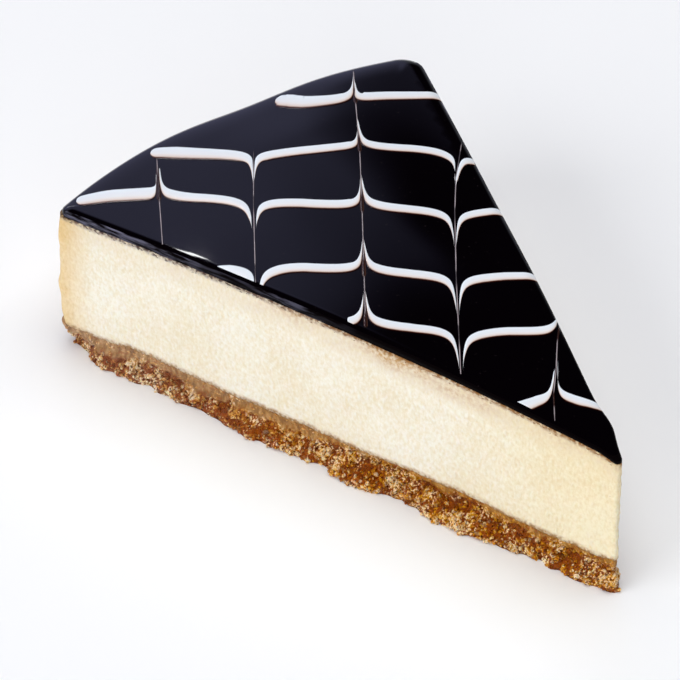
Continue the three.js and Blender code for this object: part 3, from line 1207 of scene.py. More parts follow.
@dataclass
class LooseCrumbs:
    """Crumbs that stand on the broken face of the base, scattered by Geometry Nodes.

    Attributes:
        density: crumbs to a square centimetre.
        least: smallest crumb's radius.
        most: largest crumb's radius.
        dent_width: width of the dents that make them angular.
        dent_depth: how deep those are.
        seed: the scatter's seed.
    """

    density: float = 330.0
    least: float = 0.13
    most: float = 0.6
    dent_width: float = 0.55
    dent_depth: float = 0.9
    seed: int = 7

    def scatter(self, base: bpy.types.Object, finish: bpy.types.Material) -> bpy.types.Object:
        """Scatters the crumbs.

        Args:
            base: the piece that they stand on, with its "loose" attribute.
            finish: their material.

        Returns:
            The crumbs as one plain mesh.
        """
        carrier = linked("crumb_carrier", base.data.copy())
        tree = self._tree()
        modifier = carrier.modifiers.new("crumbs", "NODES")
        modifier.node_group = tree
        to_a_square_metre = 1e4
        given = {
            "Density": self.density * to_a_square_metre, "Least radius": self.least * MM,
            "Largest radius": self.most * MM, "Seed": self.seed, "Finish": finish}
        for item in tree.interface.items_tree:
            if item.item_type == "SOCKET" and item.in_out == "INPUT" and item.name in given:
                modifier[item.identifier] = given[item.name]
        bpy.context.view_layer.update()
        evaluated = carrier.evaluated_get(bpy.context.evaluated_depsgraph_get())
        mesh = bpy.data.meshes.new_from_object(evaluated)
        mesh.name = "loose_crumbs"
        carrier.modifiers.remove(modifier)
        bpy.data.objects.remove(carrier)
        return linked("loose_crumbs", mesh)

    def _tree(self) -> bpy.types.NodeTree:
        """Builds the scatter: points on the broken face, a lump at each, turned, sized and shaded by
        chance, and then dented all over.

        Returns:
            The node tree, with its sizes as named inputs.
        """
        tree = bpy.data.node_groups.new("scattered_crumbs", "GeometryNodeTree")
        sockets = {
            "Surface": "Geometry", "Density": "Float", "Least radius": "Float", "Largest radius": "Float",
            "Seed": "Int", "Finish": "Material"}
        for name, kind in sockets.items():
            tree.interface.new_socket(name, in_out="INPUT", socket_type="NodeSocket" + kind)
        tree.interface.new_socket("Crumbs", in_out="OUTPUT", socket_type="NodeSocketGeometry")
        chance = "FunctionNodeRandomValue"
        number, vector = {"data_type": "FLOAT"}, {"data_type": "FLOAT_VECTOR"}
        steps: Sequence[Step] = (
            ("given", "NodeGroupInput", {}, {}),
            ("loose", "GeometryNodeInputNamedAttribute", number, {"Name": "loose"}),
            ("thick", "Math", TIMES, {0: "loose.Attribute", 1: "given.Density"}),
            ("points", "GeometryNodeDistributePointsOnFaces", {},
             {"Mesh": "given.Surface", "Density": "thick.Value", "Seed": "given.Seed"}),
            ("lump", "GeometryNodeMeshUVSphere", {}, {"Segments": 6, "Rings": 4, "Radius": 1.0}),
            ("turn", chance, vector, {0: (0, 0, 0), 1: (math.tau, math.tau, math.tau)}),
            ("even", chance, number, {2: 0.0, 3: 1.0, "Seed": 3}),
            ("few_large", "Math", {"operation": "POWER"}, {0: "even.1", 1: 2.4}),
            ("size", "MapRange", {},
             {"Value": "few_large.Value",
              "To Min": "given.Least radius", "To Max": "given.Largest radius"}),
            ("shape", chance, vector, {0: (0.65, 0.65, 0.5), 1: (1.2, 1.1, 1.0), "Seed": 5}),
            ("scale", "VectorMath", {"operation": "SCALE"}, {0: "shape.0", "Scale": "size.Result"}),
            ("placed", "GeometryNodeInstanceOnPoints", {},
             {"Points": "points.Points", "Instance": "lump.Mesh",
              "Rotation": "turn.0", "Scale": "scale.Vector"}),
            ("tone", chance, number, {2: 0.1, 3: 0.85, "Seed": 9}),
            ("shaded", "GeometryNodeStoreNamedAttribute", number | {"domain": "INSTANCE"},
             {"Geometry": "placed.Instances", "Name": "grain_shade", "Value": "tone.1"}),
            ("real", "GeometryNodeRealizeInstances", {}, {"Geometry": "shaded.Geometry"}),
            ("dents", "TexNoise", {}, {"Scale": noise_scale(self.dent_width), "Detail": 2.0}),
            ("middled", "VectorMath", {"operation": "SUBTRACT"}, {0: "dents.Color", 1: (0.5, 0.5, 0.5)}),
            ("moved", "VectorMath", {"operation": "SCALE"},
             {0: "middled.Vector", "Scale": self.dent_depth * MM}),
            ("dented", "GeometryNodeSetPosition", {},
             {"Geometry": "real.Geometry", "Offset": "moved.Vector"}),
            ("where", "GeometryNodeInputPosition", {}, {}),
            ("parts", "SeparateXYZ", {}, {"Vector": "where.Position"}),
            ("above_floor", "Math", {"operation": "MAXIMUM"}, {0: "parts.Z", 1: 0.0}),
            ("kept", "CombineXYZ", {}, {"X": "parts.X", "Y": "parts.Y", "Z": "above_floor.Value"}),
            ("standing", "GeometryNodeSetPosition", {},
             {"Geometry": "dented.Geometry", "Position": "kept.Vector"}),
            ("angular", "GeometryNodeSetShadeSmooth", {},
             {"Geometry": "standing.Geometry", "Shade Smooth": False}),
            ("dressed", "GeometryNodeSetMaterial", {},
             {"Geometry": "angular.Geometry", "Material": "given.Finish"}),
            ("result", "NodeGroupOutput", {}, {"Crumbs": "dressed.Geometry"}),
        )
        for step in steps:
            add_node(tree, *step)
        return tree


@dataclass
class CheeseFilling:
    """The baked filling.

    Attributes:
        heights: where the layers meet.
        spacing: distance between points of the cut faces.
        skin_bulge: how far the baked rim stands out at mid height.
        streaks: the blade's fine upright streaks.
        blade_waves: the slow waves that it left.
        skin_lumps: unevenness of the baked rim.
        tip_lumps: unevenness of the ragged edge at the tip.
        pitch: distance between points inside its top.
    """

    heights: LayerHeights
    spacing: float = 0.5
    skin_bulge: float = 0.8
    streaks: Swells = ((0.05, 2.2, 1.0),)
    blade_waves: Swells = ((0.16, 7.0, 5.0),)
    skin_lumps: Swells = ((0.4, 6.0, 2.0), (0.3, 2.5, 3.0))
    tip_lumps: Swells = ((0.3, 1.3, 6.0),)
    pitch: float = 4.0

    def build(self) -> list[bpy.types.Object]:
        """Makes the filling.

        Returns:
            The filling alone.
        """
        plan = self.heights.plan
        ring = self.heights.outline(self.spacing)
        low = self.heights.crumb_line(ring)
        high = self.heights.filling_top(ring.xy)
        count = round(float((high - low).mean()) / self.spacing)
        rows, values = [], {"below_top": [], "above_crumb": [], "from_rim": []}
        from_rim = plan.radius - plan.from_tip(ring.xy)
        for j in range(count + 1):
            share = j / count
            z = low + (high - low) * share
            places = ring.at(z)
            # Both of the blade's marks are drawn out upwards.
            marks = unevenness(places * (1, 1, 0.3), self.streaks)
            marks += unevenness(places * (1, 1, 0.4), self.blade_waves)
            marks += unevenness(places, self.skin_lumps) * ring.rimward
            marks += unevenness(places, self.tip_lumps) * smooth(plan.from_tip(ring.xy), 4.0, 1.0)
            # The skin is upright over most of its height and leans in a little towards its top.
            bulge = self.skin_bulge * (1 - (2 * share - 1) ** 8) * (1 - 0.6 * share ** 2) * ring.rimward
            rows.append(np.column_stack([ring.pushed(bulge + marks * (0 < j < count)), z]))
            values["below_top"].append(high - z)
            values["above_crumb"].append(z - low)
            values["from_rim"].append(from_rim)
        layer = LayerMesh(plan, rows, self.pitch)
        points, faces, walls = layer.build(
            lambda xy: np.full(len(xy), low.mean()), self.heights.filling_top)
        inner = points[walls:]
        packed = {
            "below_top": np.concatenate([*values["below_top"], np.zeros(len(inner))]),
            "above_crumb": np.concatenate([*values["above_crumb"], inner[:, 2] - low.mean()]),
            "from_rim": np.concatenate([*values["from_rim"], plan.radius - plan.from_tip(inner)]),
        }
        filling = mesh_piece("cream_cheese_filling", points, faces, packed)
        filling.data.materials.append(BakedCheese().material())
        hand_over(filling, "cream_cheese", "cheese_filling")
        return [filling]


@dataclass
class ChocolateGlaze:
    """The poured glaze: an upright edge, a rounded shoulder and a flowing top.

    Attributes:
        heights: where the layers meet.
        spacing: distance between points round the edge.
        rim_inset: bare filling between the glaze and the rim.
        cut_inset: the same along a cut.
        corners: plan radius of its right and left corner.
        nose: how far it ran out over the tip.
        tip_bulge: how far it stands out beside the tip on the right.
        bulge_place: how far from the tip it does so most.
        bulge_width: half of how far along the edge that goes.
        rim_shoulder: width of the rounding towards the rim, where it ran down.
        cut_shoulders: width of the rounding along the right and the left cut.
        edge: share of the thickness that stands upright.
        sunk: how far its underside goes into the filling, so that no gap shows.
        edge_swells: unevenness of its lower edge.
        flow_swells: unevenness of its top.
        upright_rows: rows of points on the upright edge.
        shoulder_rows: rows of points on the shoulder.
        dull_rows: how many rows of the shoulder the blade dulled.
        pitch: distance between points inside its top.
    """

    heights: LayerHeights
    spacing: float = 0.45
    rim_inset: float = 0.35
    cut_inset: float = 0.15
    corners: tuple[float, float] = (5.0, 2.2)
    nose: float = 0.2
    tip_bulge: float = 1.0
    bulge_place: float = 10.0
    bulge_width: float = 5.0
    rim_shoulder: float = 6.0
    cut_shoulders: tuple[float, float] = (2.4, 1.6)
    edge: float = 0.35
    sunk: float = 0.1
    edge_swells: Swells = ((0.12, 6.0, 2.2), (0.08, 2.0, 7.1))
    flow_swells: Swells = ((0.07, 19.0, 5.5),)
    upright_rows: int = 4
    shoulder_rows: int = 10
    dull_rows: int = 4
    pitch: float = 1.6

    def surface(self, xy: np.ndarray) -> np.ndarray:
        """Height of the glaze's top, shoulder and all.

        Args:
            xy: places in plan.

        Returns:
            The height at each place.
        """
        plan = self.heights.plan
        from_cut = plan.inside_cuts(xy) - self.cut_inset
        from_rim = plan.radius - self.rim_inset - self.heights.rim_dent(xy) - plan.from_tip(xy)
        rightward = xy[:, 0] > plan.centre[0]
        corner, cut_shoulder = np.where(rightward, *self.corners), np.where(rightward, *self.cut_shoulders)
        in_cut, in_rim = (corner - from_cut).clip(0), (corner - from_rim).clip(0)
        turned = np.hypot(in_cut, in_rim)
        rounded = (in_cut > 0) & (in_rim > 0)
        inside = np.where(rounded, corner - turned, np.minimum(from_cut, from_rim))
        rimward = np.where(rounded, in_rim / turned.clip(1e-6), from_rim < from_cut)
        near = (inside / (cut_shoulder + (self.rim_shoulder - cut_shoulder) * rimward ** 2)).clip(0, 1)
        lift = lifted(quarter_round(near), self.edge)
        level = np.column_stack([xy[:, :2], np.zeros(len(xy))])
        flow = unevenness(level, self.flow_swells) * near
        return self.heights.filling_top(xy) + self.heights.glaze_thickness(xy) * lift + flow

    def bulge(self, xy: np.ndarray) -> np.ndarray:
        """How far the right edge stands out at each place's distance from the tip."""
        off = (self.heights.plan.from_tip(xy) - self.bulge_place) / self.bulge_width
        return self.tip_bulge * np.exp(-off ** 2)

    def _run_out(self, ring: Ring) -> np.ndarray:
        """How far the glaze is pushed outwards, at the tip and beside it on the right."""
        nose = self.nose * smooth(self.heights.plan.from_tip(ring.xy), 7.0, 2.0)
        return nose + self.bulge(ring.xy) * smooth(ring.normal[:, 0], 0.0, 0.5)

    def build(self) -> list[bpy.types.Object]:
        """Makes the glaze.

        Returns:
            The glaze alone.
        """
        foot = self.heights.outline(self.spacing, self.rim_inset, self.cut_inset, self.corners)
        under = self.heights.filling_top(foot.xy) - self.sunk
        shoulder = self.surface(foot.xy)
        wobble = unevenness(foot.at(0.0), self.edge_swells)
        run_out = self._run_out(foot)
        rows = []
        for k in range(self.upright_rows):
            share = k / self.upright_rows
            z = under + (shoulder - under) * share
            rows.append(np.column_stack([foot.pushed(run_out + wobble * (1 - share)), z]))
        for k in range(self.shoulder_rows + 1):
            inset = 1 - math.cos(math.pi / 2 * k / self.shoulder_rows)
            rim = self.rim_inset + self.rim_shoulder * inset
            cut = self.cut_inset + max(self.cut_shoulders) * inset
            ring = self.heights.outline(self.spacing, rim, cut, self.corners)
            rows.append(np.column_stack([ring.pushed(self._run_out(ring)), self.surface(ring.xy)]))
        layer = LayerMesh(self.heights.plan, rows, self.pitch)
        points, faces, _ = layer.build(lambda xy: self.heights.filling_top(xy) - self.sunk, self.surface)
        glaze = mesh_piece("poured_glaze", points, faces)
        glaze.data.materials.append(PouredChocolate().material())
        glaze.data.materials.append(CutChocolate().material())
        dulled = (self.upright_rows + self.dull_rows) * len(foot.xy)
        for k, polygon in enumerate(glaze.data.polygons[:dulled]):
            polygon.material_index = int(foot.rimward[k % len(foot.xy)] < 0.5)
        hand_over(glaze, "dark_chocolate", "chocolate_glaze")
        return [glaze]


# ---- Feathered icing ----


class Pull(Enum):
    """Which way the blade was drawn across the rows."""

    AWAY = 1
    BACK = -1


@dataclass(frozen=True)
class Drag:
    """One pass of the blade across the rows.

    Attributes:
        stations: its course, as places up and across the pattern, each with how strongly it drew
            the icing on its left and on its right there.
        pull: which way it went.
        reach: how far its tails run.
        blunt: how much the blade's own width dulls the pull close by.
        bite: strength for each millimetre of that, below which it is dulled less.
        closest: the nearest that the icing is followed to its path.
        thinning: how much of a row's steepness thins it.
        blob: width of the drop at the trail's lower end.
        gap: how far it pushed the icing aside as well.
        core: how much wider its trail is in a notch, and how far up that goes.
        slicing: whether it sheared the icing along itself without bending the row.
    """

    stations: tuple[tuple[float, float, float, float], ...]
    pull: Pull
    reach: float = 10.0
    blunt: float = 0.3
    bite: float = 13.0
    closest: float = 0.06
    thinning: float = 0.8
    blob: float = 0.24
    gap: float = 0.0
    core: tuple[float, float] = (0.5, 5.5)
    slicing: bool = False

    def _along(self, up: np.ndarray | float, column: int) -> np.ndarray:
        """One column of the stations at a height up the pattern."""
        table = np.array(sorted(self.stations))
        return np.interp(up, table[:, 0], table[:, column])

    def place(self, up: np.ndarray | float) -> np.ndarray:
        """Where the blade passed, across the pattern, at a height up it."""
        return self._along(up, 1)

    def strength(self, up: float, rightward: bool) -> float:
        """How strongly it drew the icing on one side."""
        return float(self._along(up, 3 if rightward else 2))

    def crosses(self, up: float) -> bool:
        """Whether the blade passed a height up the pattern."""
        heights = [station[0] for station in self.stations]
        return min(heights) - 1.0 < up < max(heights) + 1.0

    def dulling(self, strength: float) -> float:
        """How far off a pull of one strength is dulled, so that the weakest still make long tails."""
        return min(self.blunt, strength / self.bite)

    def pulled(self, strength: float, distance: np.ndarray, width: float) -> np.ndarray:
        """How far along its way it moves icing at a distance, where the pull ends a width off."""
        dulled = self.dulling(strength)
        return (strength / (distance + dulled) - strength / (width + dulled)).clip(0, self.reach)

    def nearest(self, strength: float, width: float) -> float:
        """Distance at which its tails have run as far as they reach."""
        dulled = self.dulling(strength)
        return max(self.closest, 1 / (self.reach / strength + 1 / (width + dulled)) - dulled)


@dataclass(frozen=True)
class Row:
    """One piped row of icing.

    Attributes:
        course: its course before the blade came, as places across and up the pattern.
        width: its thickness.
        start: where a rounded end begins it, or nothing where the cut does.
    """

    course: tuple[tuple[float, float], ...]
    width: tuple[tuple[float, float], ...]
    start: float | None = None

    def level(self, across: np.ndarray) -> np.ndarray:
        """Height of the row up the pattern, eased between its stations."""
        stations = list(zip(*self.course))
        return np.mean([np.interp(across + shift, *stations) for shift in (-3.0, -1.0, 1.0, 3.0)], axis=0)

    def thickness(self, across: np.ndarray) -> np.ndarray:
        """Thickness of the row."""
        return np.interp(across, *zip(*self.width))


@dataclass
class Ribbon:
    """A flat line of icing.

    Attributes:
        across: its middle line's places across the pattern.
        up: the same up the pattern.
        width: its thickness at each place.
        upright: how far its cross lines are turned straight up the pattern, from 0 to 1.
        numbers: other numbers at each place, which a material reads.
        rise: how far it stands above the glaze.
        fringe: share of its width that the brown fringe adds along its lower side.
        sides: points from one side to the other.
    """

    across: np.ndarray
    up: np.ndarray
    width: np.ndarray
    upright: np.ndarray
    numbers: dict[str, np.ndarray] = field(default_factory=dict)
    rise: float = 0.08
    fringe: float = 0.0
    sides: int = 13


@dataclass
class Tail:
    """An end of a stretch of icing that the blade drew out.

    Attributes:
        drag: the pass of the blade.
        strength: how strongly it drew this end.
        distance: how far each place of the stretch lay from the blade.
        side: 1 where the stretch lies on the blade's right, and -1 on its left.
    """

    drag: Drag
    strength: float
    distance: np.ndarray
    side: int


@dataclass
class FeatheredIcing:
    """Rows of white icing that the blade drew into points.

    The pattern has its own axes: across runs along the rows, and up runs towards the back of the
    picture. A blade moves the icing beside it by an amount that falls with distance, and thins a
    row where it steepens it.

    Attributes:
        glaze: the glaze that the icing lies in.
        angle: turn of the pattern on the cake, in degrees.
        rows: the piped rows.
        drags: the passes of the blade, from left to right.
        pull_width: how far from its path the blade moves anything.
        fringe: share of a row's width that its brown fringe adds.
        thread: width of a blade's trail.
        trail_rise: how far a trail stands above the glaze, less than a row.
        tail_points: points along a tail.
        fine_pitch: distance between points near an end that no blade drew.
        pitch: the same farther off.
        fine_reach: how far from that end the near ones go.
        round_end: length of a row's rounded end, as a share of its width.
        shoulder: bare glaze left along the left cut, where the blade smoothed it over.
        sink: how far the icing goes into the glaze.
    """

    glaze: ChocolateGlaze
    angle: float = 36.27
    rows: tuple[Row, ...] = (
        Row(course=((-65.5, 109), (-63, 106.9), (-61, 106.5), (-56, 106.6), (-50, 107.2), (-46, 108.4),
                    (-38, 108.75), (-30, 108.8)),
            width=((-65, 4.9), (-62.5, 4.9), (-60, 4.5), (-55.5, 3.8), (-50, 3.2), (-43, 3.0), (-35, 2.7)),
            start=-65.4),
        Row(course=((-90.5, 90.1), (-86, 89.9), (-82, 89.3), (-76, 88.8), (-68, 88.4), (-63, 89),
                    (-57, 89.9), (-50, 90.7), (-44, 90.5), (-36, 90.3), (-31, 89.3), (-26, 87)),
            width=((-89, 3.8), (-85, 4.1), (-78, 3.65), (-71, 3.3), (-66, 2.9), (-58, 2.75), (-50, 2.65),
                   (-28, 2.45)),
            start=-89.9),
        Row(course=((-104, 74.4), (-100, 75.6), (-95, 76), (-88, 75.9), (-84, 74.8), (-80, 74.4), (-73, 74),
                    (-67, 73.2), (-60, 72.3), (-50, 71.2), (-42, 70.35), (-32, 69.9), (-28, 69.7),
                    (-20, 70.6)),
            width=((-103, 3.7), (-97, 3.95), (-90, 4.1), (-86, 3.3), (-80, 2.85), (-74, 2.75), (-66, 2.85),
                   (-50, 2.85), (-36, 2.6), (-22, 2.4)),
            start=-103.9),
        Row(course=((-78.5, 51.3), (-71, 51.4), (-65, 52.5), (-60, 52.3), (-52, 51.3), (-44, 50.6),
                    (-38, 50.1), (-31, 49.9), (-27, 49.4), (-20, 49.8), (-14, 50)),
            width=((-76, 3.6), (-74, 4.6), (-70, 4.4), (-68, 3.2), (-62, 2.85), (-50, 2.75), (-24, 2.5),
                   (-16, 2.3)),
            start=-76.9),
        Row(course=((-56, 34.4), (-50, 34.9), (-45, 34.8), (-40, 34.3), (-31, 34.25), (-28, 33.7),
                    (-24, 33.9), (-19, 34), (-10, 33.5)),
            width=((-51, 3), (-47, 2.7), (-40, 2.5), (-32, 2.35), (-12, 2.4)),
            start=-50.9),
        Row(course=((-22, 11.6), (-18, 13.6), (-15, 15.4), (-12.5, 16.2), (-9.5, 15.6), (-6, 14.75),
                    (-2.6, 13.7)),
            width=((-20, 3.6), (-16, 3.2), (-13.5, 2.5), (-8, 2.5), (-3, 2.1))),
    )
    drags: tuple[Drag, ...] = (
        Drag(((88.5, -88.6, 1, 2), (76, -87.8, 1, 2), (59, -86.6, 1, 2)),
             Pull.AWAY, 11.0, gap=0.3, core=(0.7, 11.0), slicing=True),
        Drag(((90, -69.5, 2.8, 2.8), (72, -69.3, 7.3, 6.8), (52, -68.7, 6, 9), (45, -68.5, 6, 9)),
             Pull.BACK, 9.5),
        Drag(((118.5, -49.8, 3.4, 1), (107, -49.4, 3.4, 1), (90, -48.6, 1.8, 3.2), (71, -48.2, 3.2, 4.6),
              (51, -47.9, 4.4, 4.8), (34, -47.6, 5.6, 4.8)),
             Pull.AWAY, 10.5),
        Drag(((93, -28.4, 4.2, 2.9), (80, -29.8, 5, 4), (70, -30.2, 6, 5.2), (50, -30.3, 5.7, 6.8),
              (34, -30.1, 6, 9), (20, -29.9, 6, 9)),
             Pull.BACK, 11.5),
        Drag(((37, -10.9, 3, 3), (31, -11.6, 3, 3), (24, -12, 1.6, 4), (17.4, -12.7, 1.6, 4),
              (9, -12.7, 1.6, 4)),
             Pull.AWAY, 13.0, blob=0.12, gap=0.2, core=(0.0, 3.0), slicing=True),
    )
    pull_width: float = 9.5
    fringe: float = 0.11
    thread: float = 0.26
    trail_rise: float = 0.06
    tail_points: int = 46
    fine_pitch: float = 0.12
    pitch: float = 0.5
    fine_reach: float = 6.0
    round_end: float = 0.36
    shoulder: float = 1.2
    sink: float = 0.4

    def build(self) -> list[bpy.types.Object]:
        """Makes the rows and the blade's trails.

        Returns:
            The two pieces.
        """
        rows = self._joined("feathered_icing_rows", self._row_ribbons(), FeatherIcing())
        trails = self._joined("blade_trails", self._trail_ribbons(), BladeTrail())
        for piece in (rows, trails):
            hand_over(piece, "white_icing")
        return [rows, trails]

    def _to_frame(self, across: np.ndarray, up: np.ndarray) -> np.ndarray:
        """Turns places in the pattern to places in plan.

        Args:
            across: places along the rows.
            up: places across them.

        Returns:
            The places in plan.
        """
        turn = math.radians(self.angle)
        x = across * math.cos(turn) + up * math.sin(turn)
        y = up * math.cos(turn) - across * math.sin(turn)
        return np.column_stack([x, y]) + np.array(self.glaze.heights.plan.centre)

    def _row_ribbons(self) -> list[Ribbon]:
        """Cuts the rows at the passes of the blade.

        Returns:
            Every stretch of every row.
        """
        ribbons = []
        for row in self.rows:
            low = row.start if row.start is not None else row.course[0][0]
            high = row.course[-1][0]
            crossed = []
            for drag in self.drags:
                place, level = self._crossing(row, drag)
                if low < place < high and drag.crosses(level):
                    crossed.append((place, drag))
            ends = [(low, None), *crossed, (high, None)]
            for (start, left), (end, right) in zip(ends, ends[1:]):
                ribbons.append(self._stretch(row, start, end, left, right))
        return ribbons

    @staticmethod
    def _crossing(row: Row, drag: Drag) -> tuple[float, float]:
        """Where a drag crosses a row.

        Args:
            row: the row.
            drag: the drag.

        Returns:
            The place across and up the pattern.
        """
        level = float(row.level(drag.place(row.course[0][1])))
        place = float(drag.place(level))
        return place, float(row.level(place))

    def _stretch(self, row: Row, start: float, end: float, left: Drag | None, right: Drag | None) -> Ribbon:
        """One stretch of a row, drawn out at the ends that a blade passed.

        Args:
            row: the row.
            start: where the stretch begins, across the pattern.
            end: where it ends.
            left: the drag at its start, if there is one.
            right: the drag at its end, if there is one.

        Returns:
            The ribbon.
        """
        left_strength = left.strength(float(row.level(start)), True) if left else 0.0
        right_strength = right.strength(float(row.level(end)), False) if right else 0.0
        middle = (start + end) / 2
        near_start = self._steps(left, left_strength, middle - start)
        near_end = self._steps(right, right_strength, end - middle)
        across = np.concatenate([start + near_start, (end - near_end)[::-1][1:]])
        tails = []
        if left:
            tails.append(Tail(left, left_strength, across - start, 1))
        if right:
            tails.append(Tail(right, right_strength, end - across, -1))
        level = row.level(across)
        up, shifted = level.copy(), across.copy()
        for tail in tails:
            up += tail.drag.pull.value * tail.drag.pulled(tail.strength, tail.distance, self.pull_width)
        for tail in tails:
            close = (1 - tail.distance / self.pull_width).clip(0, 1)
            aside = tail.side * tail.drag.gap * np.exp(-tail.distance)
            shifted += (tail.drag.place(up) - tail.drag.place(level)) * close + aside
        width, upright = self._drawn_width(row.thickness(across), np.gradient(up, shifted), tails)
        if row.start is not None and left is None:
            near = ((across - start) / (self.round_end * row.thickness(across))).clip(0, 1)
            width = width * quarter_round(near).clip(0.02, 1)
        return Ribbon(shifted, up, width, upright, fringe=self.fringe)

    def _drawn_width(self, width: np.ndarray, slope: np.ndarray,
                     tails: list[Tail]) -> tuple[np.ndarray, np.ndarray]:
        """Thins a stretch where a blade steepened it, and draws its tails to a point.

        Args:
            width: the row's thickness along the stretch.
            slope: how steep the stretch is now.
            tails: its drawn ends.

        Returns:
            The thickness, and how far the cross lines are turned straight up the pattern.
        """
        upright = np.zeros(len(width))
        for tail in tails:
            if tail.drag.slicing:
                turned = smooth(tail.distance, self.pull_width, 0.6 * self.pull_width)
                upright = np.maximum(upright, turned)
            else:
                thinned = np.where(tail.distance < self.pull_width, tail.drag.thinning * slope, 0)
                width = width / np.sqrt(1 + thinned ** 2)
            nearest = tail.distance.min()
            width = width * smooth(tail.distance, 0.9 * nearest, 2.2 * nearest)
        return width, upright

    def _steps(self, drag: Drag | None, strength: float, length: float) -> np.ndarray:
        """Distances from one end of a stretch to its middle, closer together near the end.

        Args:
            drag: the drag at that end, if there is one.
            strength: how strongly it drew that end.
            length: distance to the middle.

        Returns:
            The distances.
        """
        if drag is None:
            near = np.arange(0, min(length, self.fine_reach), self.fine_pitch)
            return np.concatenate([near, np.arange(self.fine_reach, length, self.pitch)])
        return np.geomspace(drag.nearest(strength, self.pull_width), length, self.tail_points)

    def _trail_ribbons(self) -> list[Ribbon]:
        """Makes the blade's trails: thin threads, wider and brown in each notch that it drew.

        Returns:
            A ribbon for each drag.
        """
        ribbons = []
        for drag in self.drags:
            heights = [station[0] for station in drag.stations]
            up = np.arange(min(heights), max(heights) + 0.1, 0.2)
            across = drag.place(up)
            places = np.column_stack([across, up, np.zeros(len(up))])
            width = self.thread * (1 + 0.35 * waves(places, 3.0, 4.0))
            browned, strength = np.zeros(len(up)), 0.7 + 0.3 * waves(places, 7.0, 1.0)
            for row in self.rows:
                place, level = self._crossing(row, drag)
                if not row.course[0][0] < place < row.course[-1][0]:
                    continue
                along = (up - level) * drag.pull.value
                wider, runs = drag.core
                notch = smooth(along, -2.0, -0.8) * smooth(along, runs, 0.3 * runs)
                if drag.pull is Pull.AWAY:
                    width += wider * notch
                    brown = smooth(along, -2.5, -1.2) * smooth(along, runs + 0.5, 0.5 * runs)
                    browned = np.maximum(browned, brown)
                else:
                    strength = strength * (1 - 0.8 * notch)
            ends = smooth(up, up[0], up[0] + 0.8) * smooth(up, up[-1], up[-1] - 1.5)
            low_end = smooth(up, up[0] + 3.5, up[0] + 0.5)
            width = (width + (drag.blob - self.thread) * low_end) * lifted(ends, 0.2)
            numbers = {"browned": browned, "strength": (strength * ends).clip(0, 1)}
            ribbons.append(Ribbon(across, up, width, np.zeros(len(up)), numbers, self.trail_rise))
        return ribbons

    def _joined(self, name: str, ribbons: list[Ribbon], finish: Finish) -> bpy.types.Object:
        """Makes one piece of ribbons, cut off at the cut faces.

        Args:
            name: the piece's name.
            ribbons: the ribbons.
            finish: what they are made of.

        Returns:
            The piece.
        """
        points, faces, numbers = [], [], {"across": []} | {key: [] for key in ribbons[0].numbers}
        start = 0
        for ribbon in ribbons:
            places, sides, shares = self._ribbon(ribbon)
            points.append(places)
            faces += [tuple(start + k for k in side) for side in sides]
            numbers["across"].append(shares)
            for key, along in ribbon.numbers.items():
                numbers[key].append(np.tile(np.repeat(along, ribbon.sides), 2))
            start += len(places)
        joined = {key: np.concatenate(parts) for key, parts in numbers.items()}
        piece = mesh_piece(name, np.vstack(points), faces, joined)
        piece.data.materials.append(finish.material())
        self._trim(piece.data)
        return piece

    def _ribbon(self, ribbon: Ribbon) -> tuple[np.ndarray, list[Face], np.ndarray]:
        """A closed ribbon that lies in the glaze, low and rounded on top.

        Args:
            ribbon: its course and width.

        Returns:
            Places, faces, and how far across the ribbon each place is, from 0 below to 1 above.
        """
        count, length = ribbon.sides, len(ribbon.up)
        along = np.column_stack([np.gradient(ribbon.across), np.gradient(ribbon.up)])
        along /= np.linalg.norm(along, axis=1)[:, None]
        along += (np.array([1.0, 0.0]) - along) * ribbon.upright[:, None]
        along /= np.linalg.norm(along, axis=1)[:, None]
        shares = 0.5 - 0.5 * np.cos(np.pi * np.arange(count) / (count - 1))
        offset = (shares[None, :] * (1 + ribbon.fringe) - ribbon.fringe - 0.5) * ribbon.width[:, None]
        across = ribbon.across[:, None] - offset * along[:, 1:]
        up = ribbon.up[:, None] + offset * along[:, :1]
        xy = self._to_frame(across.ravel(), up.ravel())
        dome = np.tile(np.sqrt(1 - (2 * shares - 1) ** 2), length)
        ground = self.glaze.surface(xy)
        lift = ribbon.rise * dome * np.repeat((ribbon.width / 0.8).clip(0.35, 1), count)
        top = np.column_stack([xy, ground + lift - 0.01 * (1 - dome)])
        under = np.column_stack([xy, ground - self.sink * dome - 0.02])
        total = len(top)
        faces = []
        for i in range(length - 1):
            for j in range(count - 1):
                k = i * count + j
                faces.append((k, k + count, k + count + 1, k + 1))
                faces.append((total + k, total + k + 1, total + k + count + 1, total + k + count))
            first, last = i * count, i * count + count - 1
            faces.append((first + count, total + first + count, total + first, first)[::-1])
            faces.append((last, total + last, total + last + count, last + count)[::-1])
        for k, turned in ((0, True), ((length - 1) * count, False)):
            for j in range(count - 1):
                cap = (k + j, k + j + 1, total + k + j + 1, total + k + j)
                faces.append(cap if turned else cap[::-1])
        return np.vstack([top, under]), faces, np.tile(shares, 2 * length)

